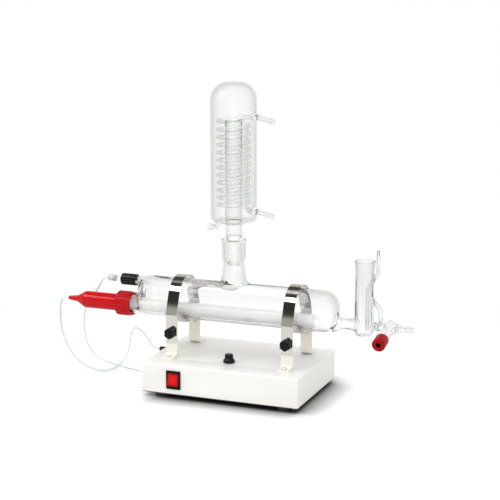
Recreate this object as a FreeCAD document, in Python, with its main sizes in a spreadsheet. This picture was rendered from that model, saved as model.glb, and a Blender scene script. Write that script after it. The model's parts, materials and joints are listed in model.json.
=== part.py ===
import FreeCAD, Part
import math
import os
import re
import Sketcher

# A bench water distiller: a glass boiler clamped on four posts over a white control box,
# an upright condenser in a ground joint, and a level vessel with a drain valve at the right.
# X runs to the right along the front, Y away from the viewer and Z up. The origin is the
# centre of the box's footprint, on the bench. Every length is in millimetres.

SIZES = {
    # control box
    "base_length": 275,
    "base_depth": 190,
    "base_height": 50,
    "cover_wall": 1.5,
    "cover_round": 2.5,
    "cover_top_round": 2.2,
    "plate_thickness": 1.5,
    "plate_inset": 1,
    "tab_size": 14,
    "foot_radius": 10,
    "foot_height": 8,
    "foot_round": 1.5,
    "foot_side_inset": 30,
    "foot_front_inset": 17,
    # pan-head screws and nuts
    "screw_radius": 1.95,
    "screw_length": 12,
    "screw_head_radius": 3.6,
    "screw_head_height": 2.4,
    "screw_clearance": 0.25,
    "thread_gap": 0.05,
    "nut_radius": 4,
    "nut_height": 3.2,
    # switch
    "switch_left": 78.3,
    "switch_height": 33.2,
    "switch_width": 25,
    "switch_tall": 31,
    "bezel_thickness": 2,
    "bezel_rim": 1.6,
    "switch_body_depth": 22,
    "rocker_width": 18.4,
    "rocker_half_height": 11,
    "rocker_depth": 5,
    "rocker_dish": 1.6,
    "rocker_stand": 4.5,
    "rocker_lean": 10,
    "rocker_side_gap": 0.3,
    "rocker_end_gap": 1.2,
    "pivot_radius": 1.5,
    "pivot_depth": 3,
    "pivot_gap": 0.05,
    "tag_width": 6.3,
    "tag_thickness": 0.8,
    "tag_length": 9,
    # control knob and its potentiometer
    "knob_front": 46,
    "knob_top_radius": 6.9,
    "knob_skirt_radius": 9.5,
    "knob_skirt_height": 5,
    "knob_height": 13.5,
    "knob_edge": 1,
    "knob_lift": 1,
    "knob_hollow_radius": 7.6,
    "knob_hollow_depth": 4.6,
    "shaft_radius": 3,
    "shaft_gap": 0.05,
    "shaft_seat": 7,
    "pot_radius": 12,
    "pot_depth": 10,
    "pot_floor": 2,
    "bush_radius": 4.5,
    "bush_height": 3.2,
    "pot_nut_radius": 6.6,
    "pot_nut_height": 2.2,
    # electronics in the box
    "board_length": 90,
    "board_depth": 60,
    "board_thickness": 1.6,
    "board_left": 0,
    "board_back": 35,
    "spacer_radius": 3,
    "spacer_height": 8,
    "spacer_inset": 5,
    "relay_length": 19,
    "relay_depth": 15,
    "relay_height": 15,
    "capacitor_radius": 5,
    "capacitor_height": 14,
    "capacitor_first": 42,
    "capacitor_second": 57,
    "sink_length": 40,
    "sink_depth": 16,
    "sink_height": 24,
    "sink_fins": 6,
    "fin_thickness": 1.5,
    "sink_web": 4,
    "block_left": 95,
    "block_back": 50,
    "block_length": 40,
    "block_depth": 18,
    "block_height": 15,
    "block_ways": 4,
    "block_hole_radius": 2,
    # glands
    "heater_gland_back": 12,
    "heater_gland_height": 51,
    "sensor_gland_back": 20,
    "sensor_gland_height": 22,
    "gland_radius": 4.5,
    "gland_nose": 14,
    "gland_round": 1.1,
    "gland_flange": 2.5,
    "gland_flange_radius": 5.4,
    "gland_thread_radius": 3.3,
    "gland_thread_length": 8,
    "gland_nut_radius": 5.2,
    "gland_nut_height": 3,
    "mains_gland_left": 100,
    "mains_gland_height": 30,
    "mains_gland_radius": 9,
    "mains_gland_length": 18,
    "mains_thread_radius": 8,
    "mains_bore": 3.6,
    "mains_nut_radius": 11,
    # posts
    "clamp_spread": 102,
    "strip_width": 20,
    "post_thickness": 4,
    "post_reach": 45,
    "post_foot_length": 24,
    "post_bend": 9,
    "post_screw_back": 16,
    # boiler
    "axis_height": 147.5,
    "boiler_radius": 34.5,
    "boiler_wall": 2.2,
    "boiler_left": 177.5,
    "boiler_right": 171.5,
    "left_round": 13,
    "right_round": 24,
    "neck_offset": 9.5,
    "neck_radius": 17.6,
    "neck_flare": 24,
    "neck_fillet": 7,
    "neck_height": 109,
    "socket_radius": 19.3,
    "socket_step": 3,
    "rim_radius": 20.3,
    "rim_height": 4.5,
    "rim_low": 3.1,
    "rim_high": 0.9,
    "ground_length": 35,
    "ground_radius": 17.25,
    "ground_taper": 1.75,
    "ground_gap": 0.05,
    # heater, its screw cap and boot
    "heater_drop": 18,
    "heater_neck_length": 39,
    "heater_neck_radius": 16,
    "heater_neck_bore": 13,
    "heater_cap_radius": 21,
    "heater_cap_skirt_radius": 19.5,
    "heater_cap_skirt": 6,
    "heater_cap_length": 28,
    "heater_cap_wall": 3,
    "heater_cap_bore": 16.6,
    "heater_cap_rib": 1.4,
    "heater_cap_ribs": 30,
    "heater_seal_thickness": 3,
    "sheath_radius": 12,
    "sheath_wall": 1.5,
    "sheath_right": 139.5,
    "sheath_left": 240,
    "seat_gap": 0.3,
    "core_bore": 6.4,
    "core_left": 252,
    "core_end_gap": 2,
    "winding_radius": 5.4,
    "wire_radius": 0.6,
    "winding_loops": 24,
    "winding_pitch": 11,
    "winding_right": 120,
    "return_offset": 1.35,
    "boot_radius": 14.5,
    "boot_length": 64,
    "boot_cone": 16,
    "boot_tail": 17,
    "tail_radius": 5.2,
    "tip_radius": 3,
    "boot_hollow": 34,
    # level sensor, its screw cap and sleeve
    "sensor_rise": 24.5,
    "sensor_neck_length": 32.5,
    "sensor_neck_radius": 6.8,
    "sensor_neck_bore": 4.8,
    "sensor_cap_radius": 9.8,
    "sensor_cap_length": 28,
    "sensor_cap_wall": 3,
    "sensor_cap_bore": 7.3,
    "sensor_cap_rib": 0.8,
    "sensor_cap_ribs": 18,
    "sensor_seal_thickness": 2.5,
    "sensor_tube_radius": 4.2,
    "sensor_tube_wall": 1,
    "sensor_tube_left": 233,
    "sensor_tube_right": 0.5,
    "sensor_tip_round": 3.8,
    "probe_length": 42,
    "sleeve_radius": 5.2,
    "sleeve_length": 14,
    "sleeve_solid": 7.5,
    # clamps
    "ring_radius": 40,
    "strap_thickness": 1,
    "strap_leg_drop": 66,
    "clamp_drop": 47.5,
    "cradle_drop": 20,
    "cradle_end_gap": 0.1,
    "pad_angle": 104,
    "bolt_radius": 2.5,
    "bolt_clearance": 0.3,
    "bolt_nut_radius": 4.6,
    "bolt_nut_height": 4,
    "bolt_end": 1.5,
    "bolt_head_radius": 4.6,
    "bolt_head_height": 3.5,
    "washer_radius": 5.5,
    "washer_thickness": 1,
    "thumb_radius": 9.2,
    "thumb_length": 9.5,
    "thumb_lobes": 6,
    "thumb_notch": 3.2,
    "thumb_round": 1.2,
    # condenser
    "glass_wall": 1.8,
    "stem_radius": 14,
    "stem_height": 197,
    "stem_rim": 4,
    "drip_length": 9,
    "drip_radius": 9,
    "jacket_radius": 38.3,
    "jacket_lift": 28,
    "jacket_height": 231,
    "jacket_round": 10,
    "dome_round": 30,
    "nozzle_high": 203,
    "nozzle_low": 48,
    "nozzle_reach": 72,
    "nozzle_tilt": 12,
    "nozzle_radius": 4.2,
    "nozzle_bore": 2.6,
    "nozzle_root": 7.5,
    "nozzle_flare": 5,
    "barb_rise": 0.9,
    "barb_length": 4,
    "barb_count": 2,
    "coil_radius": 24.7,
    "coil_tube_radius": 4.2,
    "coil_tube_bore": 3,
    "coil_pitch": 12.3,
    "coil_turns": 12,
    "coil_bottom": 57,
    "coil_lead_round": 9,
    "coil_end_gap": 2.3,
    "outlet_radius": 4.5,
    "outlet_bore": 3,
    "outlet_flare": 6.2,
    "outlet_left": 23,
    "outlet_front": 5,
    "outlet_knee_left": 27,
    "outlet_knee_front": 9,
    "outlet_drop": 9,
    "outlet_end_left": 31,
    "outlet_end_front": 26,
    "outlet_rise": 4,
    # link tube, level vessel and its side tubes
    "link_drop": 17,
    "link_radius": 9.5,
    "link_wall": 1.8,
    "link_flare": 15,
    "link_flare_length": 13,
    "link_foot": 12.5,
    "link_foot_length": 10,
    "vessel_right": 216.5,
    "vessel_radius": 15.5,
    "vessel_drop": 34,
    "vessel_height": 123,
    "vessel_round": 7,
    "vessel_wall": 1.6,
    "mouth_radius": 17.2,
    "mouth_height": 12,
    "side_tube_radius": 3.8,
    "side_tube_bore": 2.4,
    "side_bend": 6,
    "inlet_radius": 3.1,
    "inlet_bore": 1.9,
    "inlet_knee": 70,
    "inlet_top": 108,
    "inlet_out": 22,
    "dip_out": 5,
    "dip_knee": 44,
    "dip_foot": 26,
    "inlet_bead": 1.1,
    "overflow_root": 25,
    "overflow_knee": 10,
    "overflow_out": 27.5,
    # drain valve
    "valve_drop": 17,
    "valve_tube_radius": 7,
    "valve_tube_bore": 5,
    "bulb_start": 34,
    "bulb_middle": 43.5,
    "bulb_end": 56,
    "bulb_radius": 13,
    "bulb_shoulder": 11,
    "drain_start": 66,
    "drain_end": 82,
    "drain_radius": 4.8,
    "drain_bore": 2.8,
    "barrel_tilt": 10,
    "barrel_radius": 8.5,
    "barrel_bore": 6,
    "barrel_length": 50,
    "spindle_reach": 5,
    "spindle_bevel": 0.8,
    "valve_knob_radius": 11,
    "valve_knob_start": 46,
    "valve_knob_length": 21,
    "valve_knob_wall": 8,
    "valve_knob_gap": 0.3,
    "valve_knob_recess": 4,
    "valve_knob_recess_depth": 5,
    "valve_knob_ribs": 16,
    "valve_knob_rib": 0.8,
    # leads
    "heater_lead_radius": 2.2,
    "sensor_lead_radius": 1.2,
    # one overrun for cuts that pass through a face
    "overrun": 2,
}

# The routes of the two leads, from the glass to the glands in the box's left wall.
HEATER_ROUTE = [
    (-319.5, 0, 129.5), (-330, 0, 129.5), (-336.5, 0, 121.5), (-338, 0, 96), (-335.5, 0, 66),
    (-320.5, 0, 33), (-297, 0.5, 11), (-270, 2.5, 2.4), (-248.5, 8, 2.6), (-236.5, 23, 8.5),
    (-227, 36.5, 25), (-222, 39.5, 49), (-216, 34, 74), (-203.5, 29, 80), (-187.5, 22, 74),
    (-174, 15, 64), (-165, 12, 51), (-151.5, 12, 51),
]
SENSOR_ROUTE = [
    (-240.5, 0, 172), (-250, 0, 172), (-262, 10, 158), (-281, 24, 135), (-302, 34, 114.5),
    (-314, 41, 86), (-316.5, 48, 55), (-313, 55, 27), (-300, 61.5, 7), (-277, 60, 1.3),
    (-250, 47.5, 1.4), (-222, 36, 1.3), (-193, 28, 1.4), (-172, 21, 2.6), (-164, 20, 22),
    (-151.5, 20, 22),
]

doc = FreeCAD.newDocument("water_distiller")
sheet = doc.addObject("Spreadsheet::Sheet", "sizes")
NODES = {}
Vec = FreeCAD.Vector
LAYING_LEFT = FreeCAD.Rotation(Vec(0, 1, 0), -90)
FACING_FRONT = FreeCAD.Rotation(Vec(1, 0, 0), 90)
FACING_BACK = FreeCAD.Rotation(Vec(1, 0, 0), -90)
UPRIGHT = FreeCAD.Rotation()
WORDS = re.compile(r"\b(" + "|".join(sorted(SIZES, key=len, reverse=True)) + r")\b")

# Derived places, written as formulas of the sizes.
TOP = "(foot_height + base_height)"
COVER_FOOT = "(foot_height + plate_thickness)"
COVER_INSIDE = "(foot_height + base_height - cover_wall)"
FRONT = "(base_depth / 2)"
SIDE = "(base_length / 2)"
HEATER_HEIGHT = "(axis_height - heater_drop)"
SENSOR_HEIGHT = "(axis_height + sensor_rise)"
HEATER_MOUTH = "(boiler_left + heater_neck_length)"
SENSOR_MOUTH = "(boiler_left + sensor_neck_length)"
HEATER_CAP_FACE = "(boiler_left + heater_neck_length + heater_seal_thickness + heater_cap_wall)"
SENSOR_CAP_FACE = "(boiler_left + sensor_neck_length + sensor_seal_thickness + sensor_cap_wall)"
JOINT_TOP = "(axis_height + neck_height)"
STRAP_IN = "(post_reach + post_thickness)"
STRAP_OUT = "(post_reach + post_thickness + strap_thickness)"
CLAMP_HEIGHT = "(axis_height - clamp_drop)"
# The inlet crosses the level vessel's wall on its slanted run.
INLET_PORT = ("(dip_knee + (inlet_knee - dip_knee) * (vessel_radius - vessel_wall / 2 - dip_out)"
              " / (inlet_out - dip_out))")

# Shares that shape a curve or a rib, without a unit.
FLARE_SHARE = "1 / 3"
NOTCH_SHARE = "0.2"


def fill_sheet():
    for row, (name, size) in enumerate(SIZES.items(), start=1):
        sheet.set(f"A{row}", name)
        sheet.set(f"B{row}", str(size))
        sheet.setAlias(f"B{row}", name)
    doc.recompute()


def formula(text):
    return WORDS.sub(r"sizes.\1", str(text))


def number(text):
    found = sheet.evalExpression(formula(text))
    return float(getattr(found, "Value", found))


def bind(thing, attribute, text):
    thing.setExpression(attribute, formula(text))


def place(thing, where, turn=UPRIGHT):
    thing.Placement = FreeCAD.Placement(Vec(*[number(text) for text in where]), turn)
    for letter, text in zip("xyz", where):
        if text != "0":
            bind(thing, f"Placement.Base.{letter}", text)


def node(name, thing):
    thing.Label = name
    NODES[name] = thing
    return thing


# Part primitives and booleans, bound to the sheet.

def primitive(kind, sizes, where, turn=UPRIGHT):
    thing = doc.addObject("Part::" + kind, kind)
    for attribute, text in sizes.items():
        bind(thing, attribute, text)
    place(thing, where, turn)
    return thing


def cylinder(radius, height, where, turn=UPRIGHT):
    return primitive("Cylinder", {"Radius": radius, "Height": height}, where, turn)


def hexagon(radius, height, where, turn=UPRIGHT):
    return primitive("Prism", {"Circumradius": radius, "Height": height}, where, turn)


def box(length, width, height, where):
    return primitive("Box", {"Length": length, "Width": width, "Height": height}, where)


def cut(base, *tools):
    result = base
    for tool in tools:
        step = doc.addObject("Part::Cut", "Cut")
        step.Base = result
        step.Tool = tool
        result = step
    return result


def fuse(*pieces):
    result = doc.addObject("Part::MultiFuse", "Fuse")
    result.Shapes = list(pieces)
    return result


def group(*pieces):
    result = doc.addObject("Part::Compound", "Group")
    result.Links = list(pieces)
    return result


# Sketches, each corner bound to the sheet.

def body(name):
    return doc.addObject("PartDesign::Body", name)


def rounded(corners):
    # Turns (x, y, radius) corners between lines along the axes into two points and an arc.
    count = len(corners)
    flat = [(number(c[0]), number(c[1])) for c in corners]
    points = []
    for index, corner in enumerate(corners):
        if len(corner) != 3:
            points.append(corner)
            continue
        text_x, text_y, radius = corner
        here = flat[index]
        before = flat[index - 1]
        after = flat[(index + 1) % count]
        arrive = [math.copysign(1, here[k] - before[k]) if abs(here[k] - before[k]) > 1e-6 else 0
                  for k in (0, 1)]
        leave = [math.copysign(1, after[k] - here[k]) if abs(after[k] - here[k]) > 1e-6 else 0
                 for k in (0, 1)]

        def moved(text, steps):
            for step in steps:
                if step:
                    text = f"{text} {'+' if step > 0 else '-'} ({radius})"
            return text
        start = (moved(text_x, [-arrive[0]]), moved(text_y, [-arrive[1]]))
        end = (moved(text_x, [leave[0]]), moved(text_y, [leave[1]]))
        middle = (moved(text_x, [-arrive[0], leave[0]]), moved(text_y, [-arrive[1], leave[1]]))
        turn = arrive[0] * leave[1] - arrive[1] * leave[0]
        points.append(start)
        points.append((end[0], end[1], middle[0], middle[1], turn))
    return points


def fix_point(sketch, geometry, spot, text, axis):
    # Binds one coordinate of a sketch point, or lays it on the axis when it is zero.
    if text == "0":
        sketch.addConstraint(Sketcher.Constraint("PointOnObject", geometry, spot,
                                                 -2 if axis == "X" else -1))
        return
    index = sketch.addConstraint(Sketcher.Constraint(
        "Distance" + axis, -1, 1, geometry, spot, number(text)))
    sketch.setExpression(f"Constraints[{index}]", formula(text))


def add_loop(sketch, corners):
    if len(corners) == 3 and isinstance(corners[0], str):
        text_x, text_y, radius = corners
        circle = sketch.addGeometry(Part.Circle(
            Vec(number(text_x), number(text_y), 0), Vec(0, 0, 1), number(radius)))
        fix_point(sketch, circle, 3, text_x, "X")
        fix_point(sketch, circle, 3, text_y, "Y")
        index = sketch.addConstraint(Sketcher.Constraint("Radius", circle, number(radius)))
        sketch.setExpression(f"Constraints[{index}]", formula(radius))
        return
    points = rounded(corners)
    flat = [Vec(number(p[0]), number(p[1]), 0) for p in points]
    edges = []
    for index, point in enumerate(points):
        start = flat[index - 1]
        end = flat[index]
        if len(point) == 2:
            edges.append((sketch.addGeometry(Part.LineSegment(start, end)), 1, 2))
            continue
        middle = Vec(number(point[2]), number(point[3]), 0)
        first, last, spots = (start, end, (1, 2)) if point[4] > 0 else (end, start, (2, 1))
        circle = Part.Circle(middle, Vec(0, 0, 1), (start - middle).Length)
        arc = Part.ArcOfCircle(circle, math.atan2(first.y - middle.y, first.x - middle.x),
                               math.atan2(last.y - middle.y, last.x - middle.x))
        edges.append((sketch.addGeometry(arc),) + spots)
    for index, point in enumerate(points):
        edge, first_spot, last_spot = edges[index]
        follower = edges[(index + 1) % len(edges)]
        sketch.addConstraint(Sketcher.Constraint(
            "Coincident", edge, last_spot, follower[0], follower[1]))
        if len(point) == 2:
            fix_point(sketch, edge, last_spot, point[0], "X")
            fix_point(sketch, edge, last_spot, point[1], "Y")
            continue
        fix_point(sketch, edge, 3, point[2], "X")
        fix_point(sketch, edge, 3, point[3], "Y")
        spoke = flat[index] - Vec(number(point[2]), number(point[3]), 0)
        if abs(spoke.y) >= abs(spoke.x):
            fix_point(sketch, edge, last_spot, point[0], "X")
        else:
            fix_point(sketch, edge, last_spot, point[1], "Y")


def sketch_on(owner, plane, loops, shift=None):
    sketch = owner.newObject("Sketcher::SketchObject", "Sketch")
    face = next(f for f in owner.Origin.OriginFeatures if f.Role == plane + "_Plane")
    sketch.AttachmentSupport = [(face, "")]
    sketch.MapMode = "FlatFace"
    if shift:
        for letter, text in zip("xyz", shift):
            if text != "0":
                bind(sketch, f"AttachmentOffset.Base.{letter}", text)
    for loop in loops:
        add_loop(sketch, loop)
    return sketch


def feature(owner, kind, sketch, **settings):
    step = owner.newObject("PartDesign::" + kind, kind)
    step.Profile = sketch
    for attribute, setting in settings.items():
        if isinstance(setting, str):
            bind(step, attribute, setting)
        else:
            setattr(step, attribute, setting)
    return step


def pad(owner, plane, loops, length, shift=None, back=False):
    return feature(owner, "Pad", sketch_on(owner, plane, loops, shift), Length=length,
                   Reversed=back)


def pocket(owner, plane, loops, length, shift=None, back=False):
    return feature(owner, "Pocket", sketch_on(owner, plane, loops, shift), Length=length,
                   Reversed=back)


def spin(owner, axis, loop, shift=None):
    sketch = sketch_on(owner, "XZ", [loop], shift)
    return feature(owner, "Revolution", sketch, ReferenceAxis=(sketch, [axis + "_Axis"]))


def groove(owner, axis, loop, shift=None):
    sketch = sketch_on(owner, "XZ", [loop], shift)
    return feature(owner, "Groove", sketch, ReferenceAxis=(sketch, [axis + "_Axis"]))


def fillet(owner, radius, chosen):
    doc.recompute()
    base = owner.Tip
    names = [f"Edge{i}" for i, edge in enumerate(base.Shape.Edges, start=1) if chosen(edge)]
    step = owner.newObject("PartDesign::Fillet", "Fillet")
    step.Base = (base, names)
    bind(step, "Radius", radius)
    return step


def repeat_round(owner, cutter, sketch_axis, count):
    pattern = owner.newObject("PartDesign::PolarPattern", "Pattern")
    pattern.Originals = [cutter]
    axis = next(f for f in owner.Origin.OriginFeatures if f.Role == sketch_axis + "_Axis")
    pattern.Axis = (axis, [""])
    pattern.Angle = 360
    bind(pattern, "Occurrences", count)
    owner.Tip = pattern
    return pattern


def rectangle(left, low, right, high):
    return [(left, low), (right, low), (right, high), (left, high)]


def soft_rectangle(left, low, right, high, radius):
    return [(left, low, radius), (right, low, radius), (right, high, radius),
            (left, high, radius)]


# Paths of straight runs and tangent arcs, and tubes along them.

def unit(vector):
    return vector * (1 / vector.Length)


def run_path(points, share=0.45, largest=None):
    # Straight runs joined by arcs, each as large as its two runs allow.
    spots = [Vec(*p) for p in points]
    edges = []
    radii = []
    start = spots[0]
    for before, corner, after in zip(spots, spots[1:], spots[2:]):
        arrive = unit(corner - before)
        leave = unit(after - corner)
        half_turn = arrive.getAngle(leave) / 2
        trim = share * min((corner - before).Length, (after - corner).Length)
        radius = trim / math.tan(half_turn)
        if largest and radius > largest:
            radius = largest
            trim = radius * math.tan(half_turn)
        arc_start = corner - arrive * trim
        arc_end = corner + leave * trim
        inward = unit(leave - arrive)
        middle = corner + inward * (radius / math.cos(half_turn) - radius)
        edges.append(Part.LineSegment(start, arc_start).toShape())
        edges.append(Part.Arc(arc_start, middle, arc_end).toShape())
        radii.append(radius)
        start = arc_end
    edges.append(Part.LineSegment(start, spots[-1]).toShape())
    return Part.Wire(edges), radii


def biarc(start, heading, end, final):
    # Two tangent arcs from start to end, with the given unit directions at both ends.
    chord = end - start
    both = heading + final
    spread = 2 * (1 - heading.dot(final))
    along = chord.dot(both)
    reach = (math.sqrt(along * along + spread * chord.dot(chord)) - along) / spread
    joint = (start + heading * reach + end - final * reach) * 0.5
    return [tangent_arc(start, start + heading * reach, joint),
            tangent_arc(joint, end - final * reach, end)]


def tangent_arc(start, corner, end):
    middle = (start + end) * 0.5
    slope = math.atan2((corner - middle).Length, (end - start).Length / 2)
    rise = math.tan(slope / 2) / math.tan(slope)
    return Part.Arc(start, middle + (corner - middle) * rise, end).toShape()


def station_path(stations):
    # Stations are (point, direction): in line they are joined straight, else by a biarc.
    edges = []
    for (start, heading), (end, final) in zip(stations, stations[1:]):
        chord = unit(end - start)
        if chord.getAngle(heading) < 1e-7 and chord.getAngle(final) < 1e-7:
            edges.append(Part.LineSegment(start, end).toShape())
        else:
            edges.extend(biarc(start, heading, end, final))
    return Part.Wire(edges)


def sweep(path, radius):
    first = path.Edges[0]
    start = first.valueAt(first.FirstParameter)
    heading = first.tangentAt(first.FirstParameter)
    ring = Part.Wire(Part.Circle(start, heading, radius).toShape())
    return path.makePipeShell([ring], True, False)


def turned_loop(center, radius, start_angle, stop_angle, heights, across, up):
    # Half-turn stations of a winding whose rise per step may change from step to step.
    count = len(heights) - 1
    step = (stop_angle - start_angle) / count
    stations = []
    for index, height in enumerate(heights):
        angle = start_angle + step * index
        spoke = across[0] * math.cos(angle) + across[1] * math.sin(angle)
        around = across[1] * math.cos(angle) - across[0] * math.sin(angle)
        before = heights[max(index - 1, 0)]
        after = heights[min(index + 1, count)]
        span = step * (min(index + 1, count) - max(index - 1, 0))
        slope = (after - before) / (span * radius)
        stations.append((center + spoke * radius + up * height, unit(around + up * slope)))
    return stations


def least_gap(path, radius, spacing, skip):
    # The least distance between far stretches of one tube, less its diameter.
    points = path.discretize(Distance=spacing)
    ahead = int(skip / spacing)
    least = min((a - b).Length for i, a in enumerate(points) for b in points[i + ahead:])
    return least - 2 * radius


def made(name, shape, where=("0", "0", "0"), turn=UPRIGHT):
    thing = doc.addObject("Part::Feature", name)
    thing.Shape = shape
    place(thing, where, turn)
    return node(name, thing)


# Control box

def make_cover():
    cover = body("Cover")
    inner_side = f"{SIDE} - cover_wall"
    inner_front = f"{FRONT} - cover_wall"
    pad(cover, "XY", [soft_rectangle(f"-{SIDE}", f"-{FRONT}", SIDE, FRONT, "cover_round")],
        "base_height - plate_thickness")
    top = number("base_height - plate_thickness")
    fillet(cover, "cover_top_round", lambda edge: edge.BoundBox.ZMin > top - 1e-3)
    pocket(cover, "XY", [rectangle(f"-({inner_side})", f"-({inner_front})",
                                   inner_side, inner_front)],
           "base_height - plate_thickness - cover_wall", back=True)
    tabs = []
    for sign_x in ("-", ""):
        for sign_y in ("-", ""):
            far_x = f"{sign_x}({inner_side})"
            far_y = f"{sign_y}({inner_front})"
            near_x = f"{sign_x}({inner_side} - tab_size)"
            near_y = f"{sign_y}({inner_front} - tab_size)"
            hole_x = f"{sign_x}({inner_side} - tab_size / 2)"
            hole_y = f"{sign_y}({inner_front} - tab_size / 2)"
            tabs.append(rectangle(far_x, far_y, near_x, near_y))
            tabs.append((hole_x, hole_y, "screw_radius + thread_gap"))
    pad(cover, "XY", tabs, "cover_wall")
    holes = [("0", "-knob_front", "bush_radius + screw_clearance")]
    for sign_x in ("-", ""):
        for sign_y in ("-", ""):
            holes.append((f"{sign_x}clamp_spread", f"{sign_y}(post_reach + post_screw_back)",
                          "screw_radius + screw_clearance"))
    pocket(cover, "XY", holes, "base_height", back=True)
    half_wide = "(switch_width / 2 - bezel_rim)"
    half_tall = "(switch_tall / 2 - bezel_rim)"
    middle = f"(switch_height - {COVER_FOOT})"
    pocket(cover, "XZ", [rectangle(f"-switch_left - {half_wide}", f"{middle} - {half_tall}",
                                   f"-switch_left + {half_wide}", f"{middle} + {half_tall}")],
           "base_depth", back=True)
    pocket(cover, "XZ", [("mains_gland_left", f"mains_gland_height - {COVER_FOOT}",
                          "mains_thread_radius + screw_clearance")], "base_depth")
    left_holes = [(f"{name}_gland_back", f"{name}_gland_height - {COVER_FOOT}",
                   "gland_thread_radius + screw_clearance") for name in ("heater", "sensor")]
    pocket(cover, "YZ", left_holes, "base_length")
    place(cover, ("0", "0", COVER_FOOT))
    node("base_cover", cover)


def corner_spots(side_inset, front_inset):
    return [(f"{sign_x}({SIDE} - {side_inset})", f"{sign_y}({FRONT} - {front_inset})")
            for sign_x in ("-", "") for sign_y in ("-", "")]


FOOT_SPOTS = corner_spots("foot_side_inset", "foot_front_inset")
TAB_SPOTS = corner_spots("cover_wall - tab_size / 2", "cover_wall - tab_size / 2")
POST_SPOTS = [(f"{sign_x}clamp_spread", f"{sign_y}(post_reach + post_screw_back)")
              for sign_x in ("-", "") for sign_y in ("-", "")]


def make_bottom():
    plate = body("Plate")
    side = f"({SIDE} - plate_inset)"
    front = f"({FRONT} - plate_inset)"
    loops = [soft_rectangle(f"-{side}", f"-{front}", side, front, "cover_round")]
    loops += [(x, y, "screw_radius + screw_clearance") for x, y in FOOT_SPOTS + TAB_SPOTS]
    pad(plate, "XY", loops, "plate_thickness")
    spacer_x = "(board_length / 2 - spacer_inset)"
    spacer_y = "(board_depth / 2 - spacer_inset)"
    studs = [(f"board_left {a} {spacer_x}", f"board_back {b} {spacer_y}", "spacer_radius")
             for a in "-+" for b in "-+"]
    pad(plate, "XY", studs, "plate_thickness + spacer_height")
    place(plate, ("0", "0", "foot_height"))
    node("bottom_plate", plate)

    feet = []
    for x, y in FOOT_SPOTS:
        foot = body("Foot")
        spin(foot, "V", [("screw_radius + screw_clearance", "screw_head_height + foot_round"),
                         ("screw_head_radius + foot_round", "screw_head_height + foot_round"),
                         ("screw_head_radius + foot_round", "0"),
                         ("foot_radius", "0", "foot_round"),
                         ("foot_radius", "foot_height"),
                         ("screw_radius + screw_clearance", "foot_height")])
        place(foot, (x, y, "0"))
        feet.append(foot)
    node("rubber_feet", group(*feet))


def pan_screw(where, head_down):
    # The head's seat is at the given place, with the shank on the other side.
    turn = FreeCAD.Rotation(Vec(1, 0, 0), 180) if not head_down else UPRIGHT
    screw = body("Screw")
    spin(screw, "V", [("0", "screw_length"), ("screw_radius", "screw_length"),
                      ("screw_radius", "0"), ("screw_head_radius", "0"),
                      ("screw_head_radius", "-screw_head_height", "screw_head_height / 2"),
                      ("0", "-screw_head_height")])
    place(screw, where, turn)
    return screw


def hex_nut(where, turn=UPRIGHT, outer="nut_radius", inner="screw_radius", height="nut_height"):
    nut = hexagon(outer, height, where, turn)
    bore = cylinder(f"{inner} + thread_gap", height, where, turn)
    return cut(nut, bore)


def make_fasteners():
    screws = [pan_screw((x, y, "screw_head_height + foot_round"), True) for x, y in FOOT_SPOTS]
    screws += [pan_screw((x, y, "foot_height"), True) for x, y in TAB_SPOTS]
    screws += [pan_screw((x, y, f"{TOP} + post_thickness"), False) for x, y in POST_SPOTS]
    node("base_screws", group(*screws))
    nuts = [hex_nut((x, y, COVER_FOOT)) for x, y in FOOT_SPOTS]
    nuts += [hex_nut((x, y, f"{COVER_INSIDE} - nut_height")) for x, y in POST_SPOTS]
    node("base_nuts", group(*nuts))


# Switch on the front wall

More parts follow.
